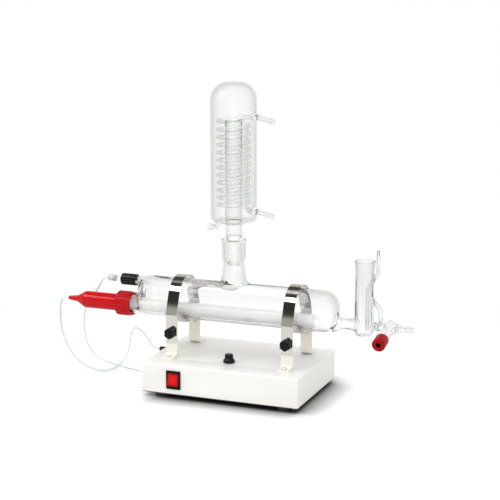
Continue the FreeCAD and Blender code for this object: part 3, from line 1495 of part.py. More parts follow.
def make_side_tubes():
    # The inlet goes on inside the vessel as a dip tube, and the vessel's wall parts the two.
    path, radii = run_path([side_point("dip_out", "-dip_foot"),
                            side_point("dip_out", "dip_knee"),
                            side_point("inlet_out", "inlet_knee"),
                            side_point("inlet_out", "inlet_top")],
                           largest=number("side_bend"))
    tube = sweep(path, number("inlet_radius"))
    bead = Part.makeTorus(number("inlet_radius"), number("inlet_bead"),
                          side_point("inlet_out", "inlet_top - inlet_bead"))
    wall = vessel_column("vessel_radius").cut(vessel_column("vessel_radius - vessel_wall"))
    inlet = tube.fuse(bead).cut(sweep(path, number("inlet_bore"))).cut(wall)
    made("inlet_tube", inlet)
    path, radii = run_path([side_point("vessel_radius - side_tube_radius",
                                       "overflow_root + side_tube_radius"),
                            side_point("overflow_out", "overflow_knee"),
                            side_point("overflow_out", "-valve_drop")],
                           largest=number("side_bend"))
    overflow = sweep(path, number("side_tube_radius")).cut(
        sweep(path, number("side_tube_bore"))).cut(vessel_column("vessel_radius"))
    trim = Part.makeCylinder(number("valve_tube_radius"), number("bulb_start"),
                             side_point("0", "-valve_drop"), Vec(1, 0, 0))
    made("overflow_tube", overflow.cut(trim))


def valve_place(distance):
    # A place on the barrel's axis, at the given distance from the bulb's middle.
    return ("vessel_right + bulb_middle",
            f"-({distance}) * cos(barrel_tilt * 1deg)",
            f"axis_height - valve_drop - ({distance}) * sin(barrel_tilt * 1deg)")


def make_valve():
    barrel_turn = FreeCAD.Rotation(Vec(1, 0, 0), 90 + number("barrel_tilt"))
    where = ("vessel_right", "0", "axis_height - valve_drop")
    outer = body("ValveOuter")
    outline = [("0", "0"), ("0", "valve_tube_radius"), ("bulb_start", "valve_tube_radius"),
               ("(bulb_start + bulb_middle) / 2", "bulb_shoulder"),
               ("bulb_middle", "bulb_radius"),
               ("(bulb_middle + bulb_end) / 2", "bulb_shoulder"),
               ("bulb_end", "valve_tube_radius"), ("drain_start", "drain_radius")]
    for barb in range(int(number("barb_count")) + 1, 0, -1):
        outline += [(f"drain_end - barb_length * {barb}", "drain_radius"),
                    (f"drain_end - barb_length * {barb}", "drain_radius + barb_rise")]
    outline += [("drain_end", "drain_radius"), ("drain_end", "0")]
    spin(outer, "H", outline)
    place(outer, where)
    barrel = cylinder("barrel_radius", "barrel_length", valve_place("0"), barrel_turn)

    inner = body("ValveInner")
    spin(inner, "H", [("0", "0"), ("0", "valve_tube_bore"), ("bulb_start", "valve_tube_bore"),
                      ("bulb_middle", "drain_bore"), ("drain_end + overrun", "drain_bore"),
                      ("drain_end + overrun", "0")])
    place(inner, where)
    bore = cylinder("barrel_bore", "spindle_reach + seat_gap + barrel_length + overrun",
                    valve_place("-spindle_reach - seat_gap"), barrel_turn)
    vessel = cylinder("vessel_radius", "vessel_height", ("vessel_right", "0",
                                                         "axis_height - vessel_drop"))
    overflow = cylinder("side_tube_bore", "valve_tube_radius + overrun",
                        ("vessel_right + overflow_out", "0", "axis_height - valve_drop"))
    node("drain_valve", cut(fuse(outer, barrel), inner, bore, vessel, overflow))

    # The spindle crosses the drain's bore and closes it as a piston does.
    spindle = body("Spindle")
    end = "(valve_knob_start + valve_knob_length - valve_knob_wall)"
    spin(spindle, "V", [("0", "-spindle_reach"),
                        ("barrel_bore - shaft_gap - spindle_bevel", "-spindle_reach"),
                        ("barrel_bore - shaft_gap", "-spindle_reach + spindle_bevel"),
                        ("barrel_bore - shaft_gap", end), ("0", end)])
    place(spindle, valve_place("0"), barrel_turn)
    node("valve_spindle", spindle)

    knob = body("ValveKnob")
    finish = "(valve_knob_start + valve_knob_length)"
    spin(knob, "V", [("0", end), ("barrel_radius + valve_knob_gap", end),
                     ("barrel_radius + valve_knob_gap", "valve_knob_start"),
                     ("valve_knob_radius", "valve_knob_start"),
                     ("valve_knob_radius", finish, "valve_knob_rib"),
                     ("valve_knob_recess", finish),
                     ("valve_knob_recess", f"{finish} - valve_knob_recess_depth"),
                     ("0", f"{finish} - valve_knob_recess_depth")])
    notch = pocket(knob, "XY", [(f"valve_knob_radius + valve_knob_rib * {NOTCH_SHARE}", "0",
                                 "valve_knob_rib")],
                   "valve_knob_length - valve_knob_rib * 3",
                   shift=("0", "0", f"{finish} - valve_knob_rib * 2"))
    repeat_round(knob, notch, "Z", "valve_knob_ribs")
    place(knob, valve_place("0"), barrel_turn)
    node("valve_knob", knob)


# Leads

def make_leads():
    for name, route in (("heater", HEATER_ROUTE), ("sensor", SENSOR_ROUTE)):
        radius = number(f"{name}_lead_radius")
        path, radii = run_path(route)
        shape = sweep(path, radius)
        expected = math.pi * radius ** 2 * path.Length
        print(f"{name}_lead: length {path.Length:.1f}, volume over section times length "
              f"{shape.Volume / expected:.5f}")
        print("  radii", [round(r, 1) for r in radii])
        made(f"{name}_lead", shape)


def check_and_write():
    doc.recompute()
    faults = [thing.Name for thing in doc.Objects
              if "Invalid" in thing.State or "Error" in thing.State]
    for name, thing in NODES.items():
        if thing.Shape.isNull() or not thing.Shape.isValid() or not thing.Shape.Solids:
            faults.append(name)
    if faults:
        raise RuntimeError("not well made: " + ", ".join(faults))
    os.makedirs("parts", exist_ok=True)
    for name, thing in NODES.items():
        thing.Shape.exportStep(f"parts/{name}.step")
    print(len(NODES), "nodes written")


fill_sheet()
make_cover()
make_bottom()
make_fasteners()
make_switch()
make_control()
make_electronics()
make_glands()
make_posts()
make_clamps()
make_clamp_screws()
make_boiler()
make_heater()
make_winding()
make_sensor()
make_condenser()
make_coil()
make_outlet()
make_vessel()
make_side_tubes()
make_valve()
make_leads()
check_and_write()
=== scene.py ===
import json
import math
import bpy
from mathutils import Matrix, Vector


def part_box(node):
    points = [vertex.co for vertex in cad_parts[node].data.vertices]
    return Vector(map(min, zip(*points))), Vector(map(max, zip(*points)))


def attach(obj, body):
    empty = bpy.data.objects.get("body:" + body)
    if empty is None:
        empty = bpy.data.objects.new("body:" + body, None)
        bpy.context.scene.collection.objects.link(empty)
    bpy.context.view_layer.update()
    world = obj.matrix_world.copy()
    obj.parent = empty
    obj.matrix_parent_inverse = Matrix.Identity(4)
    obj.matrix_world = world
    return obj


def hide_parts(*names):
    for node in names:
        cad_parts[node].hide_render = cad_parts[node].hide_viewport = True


bl_info = {
    "name": "Glass water distiller",
    "version": (1, 0, 0),
    "blender": (4, 5, 0),
    "location": "3D View > Sidebar > Distiller",
    "description": "Dresses a bench water distiller in glass, steel, paint and plastic",
    "category": "Add Mesh",
}

import bmesh
import bpy
from bpy.props import FloatProperty, FloatVectorProperty, IntProperty, PointerProperty
from mathutils import Matrix, Vector

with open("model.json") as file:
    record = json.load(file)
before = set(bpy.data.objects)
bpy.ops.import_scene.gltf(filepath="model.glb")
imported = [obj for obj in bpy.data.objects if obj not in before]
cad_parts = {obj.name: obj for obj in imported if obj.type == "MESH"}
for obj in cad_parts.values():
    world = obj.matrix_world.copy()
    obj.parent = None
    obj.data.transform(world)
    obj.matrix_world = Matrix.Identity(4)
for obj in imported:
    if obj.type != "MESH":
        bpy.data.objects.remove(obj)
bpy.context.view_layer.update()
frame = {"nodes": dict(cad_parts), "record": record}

MM = 0.001
RECORD = frame["record"]
BODY_OF = {node: body for body, nodes in RECORD["behaviour"]["bodies"].items() for node in nodes}

# Distances at which vertices are one, in metres and, on an outline, in millimetres.
SAME_SPOT = 2e-6
SAME_POINT = 1e-4

# Levels and places of the glass, in millimetres, and its tilts, in degrees.
BOILER_AXIS = (0, 0, 147.5)
HEATER_AXIS = (0, 0, 129.5)
SENSOR_AXIS = (0, 0, 172)
JOINT_TOP = (-9.5, 0, 256.5)
VESSEL_FOOT = (216.5, 0, 113.5)
LINK_AXIS = (0, 0, 130.5)
VALVE_AXIS = (216.5, 0, 130.5)
VALVE_TILT = 10
VALVE_RECESS_SHADE = 4.2
KNOB_MIDDLE = -46
COIL_ENDS = (48.0, 203.0)
# A nozzle's axis meets the condenser's this far above the end of the coil that it feeds.
NOZZLE_RISE = 8.14
NOZZLE_TILT = 12

# Where the narrow tubes begin, in metres: at the level vessel, and beside the jacket. Their glass
# is painted greyer, as painted shade.
VESSEL_SIDE = 0.19
JACKET_SIDE = 0.0295
NOZZLE_END = 0.08
JACKET_FOOT = 0.25

# The photograph's camera, in metres and degrees.
CAMERA_PLACE = (0.87625, -2.1828, 0.7301)
CAMERA_TURN = (90 - 11.81, 0, 21.44)
CAMERA_LENS = 104.92

# The dark card before the object, in metres.
CARD_MIDDLE = (-0.2, -0.6, 0.475)
CARD_SIZE = (0.9, 0.15)

# The routes of the two leads, the same points as the solids follow, in metres.
HEATER_ROUTE = [
    (-0.3195, 0, 0.1295), (-0.33, 0, 0.1295), (-0.3365, 0, 0.1215), (-0.338, 0, 0.096),
    (-0.3355, 0, 0.066), (-0.3205, 0, 0.033), (-0.297, 0.0005, 0.011), (-0.27, 0.0025, 0.0024),
    (-0.2485, 0.008, 0.0026), (-0.2365, 0.023, 0.0085), (-0.227, 0.0365, 0.025),
    (-0.222, 0.0395, 0.049), (-0.216, 0.034, 0.074), (-0.2035, 0.029, 0.08),
    (-0.1875, 0.022, 0.074), (-0.174, 0.015, 0.064), (-0.165, 0.012, 0.051),
    (-0.1515, 0.012, 0.051),
]
SENSOR_ROUTE = [
    (-0.2405, 0, 0.172), (-0.25, 0, 0.172), (-0.262, 0.01, 0.158),
    (-0.281, 0.024, 0.135), (-0.302, 0.034, 0.1145), (-0.314, 0.041, 0.086),
    (-0.3165, 0.048, 0.055), (-0.313, 0.055, 0.027), (-0.3, 0.0615, 0.007),
    (-0.277, 0.06, 0.0013), (-0.25, 0.0475, 0.0014), (-0.222, 0.036, 0.0013),
    (-0.193, 0.028, 0.0014), (-0.172, 0.021, 0.0026), (-0.164, 0.02, 0.022),
    (-0.1515, 0.02, 0.022),
]


class DistillerColours(bpy.types.PropertyGroup):
    paint: FloatVectorProperty(
        name="Box paint", description="Colour of the control box's powder coat",
        subtype="COLOR", default=(0.88, 0.872, 0.85), min=0, max=1)
    post_paint: FloatVectorProperty(
        name="Post paint", description="Colour of the four posts' coat",
        subtype="COLOR", default=(0.88, 0.85, 0.75), min=0, max=1)
    red: FloatVectorProperty(
        name="Red plastic", description="Colour of the heater's screw cap and the valve's knob",
        subtype="COLOR", default=(0.45, 0.003, 0.006), min=0, max=1)
    boot: FloatVectorProperty(
        name="Boot rubber", description="Colour of the heater's boot",
        subtype="COLOR", default=(0.6, 0.006, 0.01), min=0, max=1)
    black: FloatVectorProperty(
        name="Black plastic", description="Colour of the knobs and the sensor's cap",
        subtype="COLOR", default=(0.004, 0.004, 0.0045), min=0, max=1)
    rocker: FloatVectorProperty(
        name="Rocker", description="Colour of the switch's rocker",
        subtype="COLOR", default=(0.6, 0.008, 0.006), min=0, max=1)
    glass_face: FloatVectorProperty(
        name="Glass, face on", description="Tint of the glass where it is looked at squarely",
        subtype="COLOR", default=(0.972, 0.974, 0.972), min=0, max=1)
    # Along its outlines the glass is painted darker, as painted shade.
    glass_edge_shade: FloatVectorProperty(
        name="Glass, edge on", description="Tint of the glass along its outlines",
        subtype="COLOR", default=(0.36, 0.37, 0.36), min=0, max=1)
    lead: FloatVectorProperty(
        name="Leads", description="Colour of the two leads",
        subtype="COLOR", default=(0.66, 0.73, 0.71), min=0, max=1)


class DistillerSizes(bpy.types.PropertyGroup):
    coil_turns: IntProperty(
        name="Coil turns", description="Turns of the condenser's coil", default=12, min=4, max=14)
    coil_pitch: FloatProperty(
        name="Coil pitch", description="Rise of the coil in each turn, in millimetres",
        default=12.3, min=9, max=16)
    edge_round: FloatProperty(
        name="Edge rounding", description="Rounding of sheet-metal edges, in millimetres",
        default=0.35, min=0.05, max=1)
    lathe_steps: IntProperty(
        name="Lathe steps", description="Steps of a turned piece's full turn",
        default=96, min=24, max=192)
    knob_flutes: IntProperty(
        name="Knob flutes", description="Grip flutes round the heat control knob",
        default=24, min=8, max=40)


def colours():
    return bpy.context.scene.distiller_colours


def sizes():
    return bpy.context.scene.distiller_sizes


# Materials. A Value wraps a socket, so that sums on it add their nodes.

class Value:
    def __init__(self, shading, socket):
        self.shading = shading
        self.socket = socket

    def _with(self, operation, first, second):
        return self.shading.node("ShaderNodeMath", {"operation": operation}, [first, second])

    def __add__(self, other):
        return self._with("ADD", self, other)

    def __sub__(self, other):
        return self._with("SUBTRACT", self, other)

    def __mul__(self, other):
        return self._with("MULTIPLY", self, other)

    def __truediv__(self, other):
        return self._with("DIVIDE", self, other)

    def __pow__(self, other):
        return self._with("POWER", self, other)

    def __gt__(self, other):
        return self._with("GREATER_THAN", self, other)

    def __lt__(self, other):
        return self._with("LESS_THAN", self, other)


class Shading:
    # The node tree of one material or of the world.
    def __init__(self, owner):
        owner.use_nodes = True
        self.tree = owner.node_tree
        self.tree.nodes.clear()
        kind = "ShaderNodeOutputWorld" if isinstance(owner, bpy.types.World) \
            else "ShaderNodeOutputMaterial"
        self.output = self.tree.nodes.new(kind)

    def node(self, kind, settings=None, inputs=None, output=0):
        made = self.tree.nodes.new(kind)
        for name, setting in (settings or {}).items():
            if name == "stops":
                ramp = made.color_ramp
                while len(ramp.elements) < len(setting):
                    ramp.elements.new(1)
                for element, (position, colour) in zip(ramp.elements, setting):
                    element.position = position
                    element.color = (*colour, 1) if len(colour) == 3 else colour
            else:
                setattr(made, name, setting)
        pairs = inputs.items() if isinstance(inputs, dict) else enumerate(inputs or [])
        for key, given in pairs:
            socket = made.inputs[key]
            if isinstance(given, Value):
                self.tree.links.new(given.socket, socket)
            elif hasattr(socket.default_value, "__len__") and len(socket.default_value) == 4 \
                    and len(given) == 3:
                socket.default_value = (*given, 1)
            else:
                socket.default_value = given
        return Value(self, made.outputs[output])

    def surface(self, shader):
        self.tree.links.new(shader.socket, self.output.inputs["Surface"])

    def mix(self, factor, first, second):
        return self.node("ShaderNodeMix", {"data_type": "RGBA"},
                         {"Factor": factor, 6: first, 7: second}, output=2)

    def larger(self, first, second):
        return self.node("ShaderNodeMath", {"operation": "MAXIMUM"}, [first, second])

    def smooth(self, value, start, stop):
        return self.node("ShaderNodeMapRange", {"interpolation_type": "SMOOTHSTEP"},
                         {"Value": value, "From Min": start, "From Max": stop})

    def place(self):
        return self.node("ShaderNodeTexCoord", output="Object")

    def share(self, vector, axis):
        return self.node("ShaderNodeSeparateXYZ", None, [vector], output=axis)

    def ray(self, kind):
        return self.node("ShaderNodeLightPath", output=f"Is {kind} Ray")

    def noise(self, scale, detail=3, roughness=0.5, stretch=None):
        place = self.place()
        if stretch:
            place = self.node("ShaderNodeMapping", None, {"Vector": place, "Scale": stretch})
        return self.node("ShaderNodeTexNoise", None,
                         {"Vector": place, "Scale": scale, "Detail": detail,
                          "Roughness": roughness})

    def bump(self, height, distance, strength=1):
        return self.node("ShaderNodeBump", None,
                         {"Height": height, "Distance": distance, "Strength": strength})

    def diffuse(self, colour):
        return self.node("ShaderNodeBsdfDiffuse", None, {"Color": colour})

    def emission(self, colour, strength=1.0):
        return self.node("ShaderNodeEmission", None, {"Color": colour, "Strength": strength})

    def blend(self, factor, first, second):
        return self.node("ShaderNodeMixShader", None, [factor, first, second])

    def principled(self, **inputs):
        return self.node("ShaderNodeBsdfPrincipled", None,
                         {name.replace("_", " "): given for name, given in inputs.items()})


def white_to_the_eye(shading):
    # What the camera sees, straight or through glass, and what clear glass mirrors.
    seen = shading.larger(shading.ray("Camera"), shading.ray("Transmission"))
    return shading.larger(seen, shading.ray("Singular"))


def scaled(colour, share):
    return tuple(c * share for c in colour)


FINISHES = {}


def finish(maker):
    # A finish is made once, when its first piece asks for it.
    def made():
        if maker.__name__ not in FINISHES:
            material = bpy.data.materials.new(maker.__name__)
            maker(Shading(material))
            FINISHES[maker.__name__] = material
        return FINISHES[maker.__name__]
    return made


def powder(shading, colour, soiled):
    # Powder coat: a fine orange peel and a faint soil that lies in clouds.
    peel = shading.noise(900, 2)
    soil = shading.noise(14, 4, 0.6)
    shade = shading.mix(soil, tuple(colour), scaled(colour, soiled))
    shading.surface(shading.principled(
        Base_Color=shade, Roughness=shading.noise(60, 3) * 0.12 + 0.3,
        Normal=shading.bump(peel, 0.00006, 0.5)))


@finish
def box_paint(shading):
    powder(shading, colours().paint, 0.965)


@finish
def post_paint(shading):
    powder(shading, colours().post_paint, 0.95)


@finish
def plate_paint(shading):
    powder(shading, (0.09, 0.09, 0.095), 0.8)


@finish
def foot_rubber(shading):
    grain = shading.noise(700, 3)
    dust = shading.noise(40, 4, 0.6)
    shading.surface(shading.principled(
        Base_Color=shading.mix(dust, (0.012, 0.012, 0.012), (0.03, 0.029, 0.027)),
        Roughness=dust * 0.2 + 0.55, Normal=shading.bump(grain, 0.0001, 0.4)))


def steel(shading, stretch, base, rough):
    # Rolled steel: fine lines along one axis and slow changes in polish.
    lines = shading.noise(60, 4, 0.7, stretch)
    cloud = shading.noise(30, 3)
    shading.surface(shading.principled(
        Base_Color=shading.mix(cloud, base, scaled(base, 0.88)), Metallic=1.0,
        Roughness=lines * 0.1 + rough, Normal=shading.bump(lines, 0.00002, 0.35)))


@finish
def strap_steel(shading):
    steel(shading, (1, 30, 30), (0.74, 0.73, 0.71), 0.01)


@finish
def cradle_steel(shading):
    steel(shading, (1, 30, 30), (0.7, 0.68, 0.64), 0.14)


@finish
def screw_steel(shading):
    steel(shading, (20, 20, 20), (0.66, 0.66, 0.66), 0.16)


@finish
def turned_aluminium(shading):
    steel(shading, (5, 5, 80), (0.8, 0.8, 0.81), 0.22)


def moulded(shading, colour, rough, shine=0.5):
    # Moulded plastic: a fine skin, with a slow change of gloss and tone.
    skin = shading.noise(1400, 2)
    cloud = shading.noise(45, 3)
    lighter = tuple(min(1, c * 1.12 + 0.003) for c in colour)
    shading.surface(shading.principled(
        Base_Color=shading.mix(cloud, tuple(colour), lighter),
        Roughness=cloud * 0.12 + rough, Specular_IOR_Level=shine,
        Normal=shading.bump(skin, 0.00005, 0.3)))


@finish
def black_plastic(shading):
    moulded(shading, colours().black, 0.3, shine=0.15)


@finish
def cap_black(shading):
    moulded(shading, colours().black, 0.2, shine=0.2)


@finish
def red_plastic(shading):
    moulded(shading, colours().red, 0.2, shine=0.15)


@finish
def valve_red(shading):
    # The knob's end has a recess about its axis, painted dark inside as painted shade.
    low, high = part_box("valve_knob")
    off = shading.node("ShaderNodeVectorMath", {"operation": "SUBTRACT"},
                       [shading.place(), (low + high) / 2])
    aside = shading.node("ShaderNodeVectorMath", {"operation": "CROSS_PRODUCT"},
                         [off, turned((0, -1, 0), VALVE_TILT, "X")])
    out = shading.node("ShaderNodeVectorMath", {"operation": "LENGTH"}, [aside], output="Value")
    red = colours().red
    cloud = shading.noise(45, 3)
    moulding = shading.mix(cloud, scaled(red, 0.7), scaled(red, 0.85))
    # Painted shade: the knob is dark inside the recess.
    shading.surface(shading.principled(
        Base_Color=shading.mix(out < VALVE_RECESS_SHADE * MM, moulding, (0.004, 0.001, 0.001)),
        Roughness=cloud * 0.12 + 0.2, Specular_IOR_Level=0.12,
        Normal=shading.bump(shading.noise(1400, 2), 0.00005, 0.3)))


@finish
def boot_rubber(shading):
    skin = shading.noise(500, 2)
    cloud = shading.noise(35, 4, 0.6)
    red = tuple(colours().boot)
    shading.surface(shading.principled(
        Base_Color=shading.mix(cloud, red, scaled(red, 0.72)),
        Roughness=cloud * 0.1 + 0.12, Specular_IOR_Level=0.16,
        Normal=shading.bump(skin, 0.00012, 0.35)))


@finish
def rocker_plastic(shading):
    # The rocker is a clear red moulding, brighter in its middle, where light comes through; a
    # painted shade darkens its colour and glow towards its rim.
    low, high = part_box("switch_rocker")
    centre = (low + high) / 2
    half = (high - low) / 2
    across, along = [(shading.share(shading.place(), axis) - centre[axis]) / half[axis]
                     for axis in (0, 2)]
    # Painted shade: the rocker darkens towards its rim.
    edge = shading.larger(across * across, along * along) ** 1.5
    cloud = shading.noise(120, 2)
    red = tuple(colours().rocker)
    middle = shading.mix(cloud, red, scaled(red, 0.85))
    shading.surface(shading.principled(
        Base_Color=shading.mix(edge, middle, scaled(red, 0.12)),
        Roughness=0.2, Specular_IOR_Level=0.15,
        Emission_Color=shading.mix(edge, red, (0, 0, 0)), Emission_Strength=0.25))


@finish
def board_green(shading):
    weave = shading.noise(300, 2, 0.5, (1, 8, 1))
    shading.surface(shading.principled(
        Base_Color=shading.mix(weave, (0.02, 0.13, 0.05), (0.03, 0.18, 0.07)), Roughness=0.35,
        Normal=shading.bump(weave, 0.00003, 0.3)))


@finish
def pale_plastic(shading):
    moulded(shading, (0.75, 0.73, 0.68), 0.4)


def fired_clay(shading, grain, pale, deep, rough):
    # Pale and dull, with a painted glow that lights it a little from within, as the heater hardly
    # shows in the boiler.
    shading.surface(shading.principled(
        Base_Color=shading.mix(grain, pale, deep), Roughness=grain * 0.2 + rough,
        Specular_IOR_Level=0.2, Emission_Color=(1, 0.99, 0.97), Emission_Strength=0.16,
        Normal=shading.bump(grain, 0.0001, 0.4)))


@finish
def ceramic(shading):
    fired_clay(shading, shading.noise(500, 4, 0.6), (0.96, 0.96, 0.95), (0.93, 0.93, 0.91), 0.55)


@finish
def resistance_wire(shading):
    # The winding is coated in fired clay.
    fired_clay(shading, shading.noise(300, 3, 0.6), (0.93, 0.925, 0.91), (0.87, 0.865, 0.85), 0.5)


@finish
def ptfe(shading):
    moulded(shading, (0.88, 0.88, 0.86), 0.38)


def milky(shading, cloud, pale, deep, rough, clear, index):
    shading.surface(shading.principled(
        Base_Color=shading.mix(cloud, pale, deep), Roughness=cloud * 0.1 + rough,
        Transmission_Weight=clear, IOR=index))


@finish
def silicone(shading):
    milky(shading, shading.noise(80, 3), (0.82, 0.82, 0.8), (0.74, 0.74, 0.72), 0.32, 0.45, 1.4)


@finish
def sleeve_clear(shading):
    milky(shading, shading.noise(90, 3), (0.82, 0.79, 0.8), (0.7, 0.67, 0.68), 0.18, 0.6, 1.45)


def glass_like(shading, face, edge):
    # The outlines of glass are painted darker than its middle, where less of it is looked through:
    # a painted shade, set by the angle at which the glass is seen.
    facing = shading.node("ShaderNodeLayerWeight", None, {"Blend": 0.5}, output="Facing")
    outline_shaded_tint = shading.mix(facing ** 1.7, face, edge)
    streak = shading.noise(18, 3, 0.6, (1, 1, 0.2))
    body = shading.principled(
        Base_Color=outline_shaded_tint, Roughness=0.0, Transmission_Weight=1.0, IOR=1.47,
        Normal=shading.bump(streak, 0.0003, 0.15))
    clear = shading.node("ShaderNodeBsdfTransparent", None, {"Color": (0.98, 0.98, 0.98)})
    shading.surface(shading.blend(shading.ray("Shadow"), body, clear))


@finish
def clear_glass(shading):
    # The narrow tubes, at the level vessel and on the condenser, are painted greyer than the wide
    # ones, as painted shade.
    face = tuple(colours().glass_face)
    edge = tuple(colours().glass_edge_shade)
    side = shading.share(shading.place(), 0)
    height = shading.share(shading.place(), 2)
    nozzles = (side > JACKET_SIDE) * (side < NOZZLE_END) * (height > JACKET_FOOT)
    narrow_tube_shade = shading.larger(side > VESSEL_SIDE, nozzles)
    glass_like(shading, shading.mix(narrow_tube_shade, face, scaled(face, 0.955)),
               shading.mix(narrow_tube_shade, edge, scaled(edge, 0.35)))


@finish
def coil_glass(shading):
    glass_like(shading, (0.98, 0.982, 0.98), (0.5, 0.51, 0.5))


@finish
def inner_glass(shading):
    # The two tubes that lie inside the boiler hardly show.
    glass_like(shading, (0.99, 0.99, 0.99), (0.88, 0.89, 0.88))


@finish
def lead_skin(shading):
    cloud = shading.noise(60, 3)
    tone = tuple(colours().lead)
    shading.surface(shading.principled(
        Base_Color=shading.mix(cloud, tone, tuple(min(1, c * 1.1) for c in tone)),
        Roughness=cloud * 0.12 + 0.3, Specular_IOR_Level=0.3,
        Normal=shading.bump(cloud, 0.0001, 0.2)))


# Making and placing of pieces.

def settle(shell, name, nodes, material, crease=32):
    # Turns a bmesh into a piece that stands for its nodes and rides on their body.
    mesh = bpy.data.meshes.new(name)
    shell.to_mesh(mesh)
    shell.free()
    mesh.shade_smooth()
    mesh.set_sharp_from_angle(angle=math.radians(crease))
    piece = bpy.data.objects.new(name, mesh)
    bpy.context.scene.collection.objects.link(piece)
    mesh.materials.append(material)
    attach(piece, BODY_OF[nodes[0]])
    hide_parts(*nodes)
    return piece


def merged(node):
    shell = bmesh.new()
    shell.from_mesh(frame["nodes"][node].data)
    bmesh.ops.remove_doubles(shell, verts=shell.verts, dist=SAME_SPOT)
    return shell


def skin(node, material, edge=0.0, crease=32):
    # A merged copy of a node's mesh with its sharp edges, of over 35 degrees, rounded.
    shell = merged(node)
    bmesh.ops.dissolve_limit(shell, angle_limit=math.radians(0.5), verts=shell.verts,
                             edges=shell.edges)
    if edge:
        corners = [e for e in shell.edges
                   if e.is_manifold and e.calc_face_angle() > math.radians(35)]
        bmesh.ops.bevel(shell, geom=corners, offset=edge * MM, offset_type="OFFSET",
                        segments=2, profile=0.5, affect="EDGES", clamp_overlap=True,
                        material=-1)
    return settle(shell, node + "_skin", [node], material, crease)


def rounded(corners, steps=6):
    # Corners are (along, out) or (along, out, radius); the last kind becomes an arc.
    points = []
    count = len(corners)
    for index, corner in enumerate(corners):
        here = Vector(corner[:2])
        if len(corner) == 2 or corner[2] == 0:
            points.append(here)
            continue
        before = Vector(corners[index - 1][:2])
        after = Vector(corners[(index + 1) % count][:2])
        arrive = (here - before).normalized()
        leave = (after - here).normalized()
        half = arrive.angle(leave) / 2
        trim = corner[2] * math.tan(half)
        centre = here + (leave - arrive).normalized() * (corner[2] / math.cos(half))
        start = here - arrive * trim - centre
        end = here + leave * trim - centre
        full = start.angle_signed(end)
        for step in range(steps + 1):
            spoke = start.copy()
            spoke.rotate(Matrix.Rotation(-full * step / steps, 2))
            points.append(centre + spoke)
    return points


def lathe(outline, where, along, steps=None):
    # Turns a closed outline of (along, out) points, in millimetres, about an axis.
    shell = bmesh.new()
    points = [shell.verts.new((p[1], 0, p[0])) for p in outline]
    edges = [shell.edges.new((a, b)) for a, b in zip(points, points[1:] + points[:1])
             if (a.co - b.co).length > 1e-6]
    edges = [e for e in edges if max(v.co.x for v in e.verts) > 1e-6]
    bmesh.ops.spin(shell, geom=points + edges, cent=(0, 0, 0), axis=(0, 0, 1), dvec=(0, 0, 0),
                   angle=2 * math.pi, steps=steps or sizes().lathe_steps, use_merge=True,
                   use_duplicate=False)
    bmesh.ops.remove_doubles(shell, verts=shell.verts, dist=SAME_POINT)
    bmesh.ops.recalc_face_normals(shell, faces=shell.faces)
    turn = Vector((0, 0, 1)).rotation_difference(Vector(along).normalized()).to_matrix().to_4x4()
    place = Matrix.Scale(MM, 4) @ Matrix.Translation(where) @ turn
    bmesh.ops.transform(shell, matrix=place, verts=shell.verts)
    return shell


def joined(shells):
    # Joins shells into the first one.
    whole = shells[0]
    for other in shells[1:]:
        mesh = bpy.data.meshes.new("joining")
        other.to_mesh(mesh)
        other.free()
        whole.from_mesh(mesh)
        bpy.data.meshes.remove(mesh)
    return whole


def bent(corners, radius):
    # Millimetre corners of a bent tube, each inner one rounded to the given radius.
    steps = 8
    spots = [Vector(c) for c in corners]
    points = [spots[0]]
    for before, here, after in zip(spots, spots[1:], spots[2:]):
        arrive = (here - before).normalized()
        leave = (after - here).normalized()
        half = arrive.angle(leave) / 2
        trim = radius * math.tan(half)
        centre = here + (leave - arrive).normalized() * (radius / math.cos(half))
        start = here - arrive * trim - centre
        axis = arrive.cross(leave).normalized()
        for step in range(steps + 1):
            points.append(centre + Matrix.Rotation(2 * half * step / steps, 3, axis) @ start)
    points.append(spots[-1])
    return points


def tube_mesh(points, radius, sides):
    # The wall of a round tube along the points, in millimetres.
    curve = bpy.data.curves.new("tube", "CURVE")
    curve.dimensions = "3D"
    curve.bevel_depth = radius
    curve.bevel_resolution = sides
    curve.use_fill_caps = False
    line = curve.splines.new("POLY")
    line.points.add(len(points) - 1)
    for spot, point in zip(line.points, points):
        spot.co = (*point, 1)
    holder = bpy.data.objects.new("tube", curve)
    mesh = bpy.data.meshes.new_from_object(holder)
    shell = bmesh.new()
    shell.from_mesh(mesh)
    bpy.data.objects.remove(holder)
    bpy.data.curves.remove(curve)
    bpy.data.meshes.remove(mesh)
    return shell


def pipe(points, outer, bore, sides=8):
    # A hollow tube: its outer wall, its bore turned inside out, and a ring at each end.
    shell = tube_mesh(points, outer, sides)
    if bore:
        inner = tube_mesh(points, bore, sides)
        bmesh.ops.reverse_faces(inner, faces=inner.faces)
        shell = joined([shell, inner])
    rims = [e for e in shell.edges if e.is_boundary]
    ends = {}
    for edge in rims:
        middle = (edge.verts[0].co + edge.verts[1].co) / 2
        near_start = (middle - Vector(points[0])).length < (middle - Vector(points[-1])).length
        ends.setdefault(near_start, []).append(edge)
    for loop in ends.values():
        if bore:
            bmesh.ops.bridge_loops(shell, edges=loop)
        else:
            bmesh.ops.contextual_create(shell, geom=loop)
    bmesh.ops.recalc_face_normals(shell, faces=shell.faces)
    bmesh.ops.scale(shell, vec=(MM, MM, MM), verts=shell.verts)
    return shell


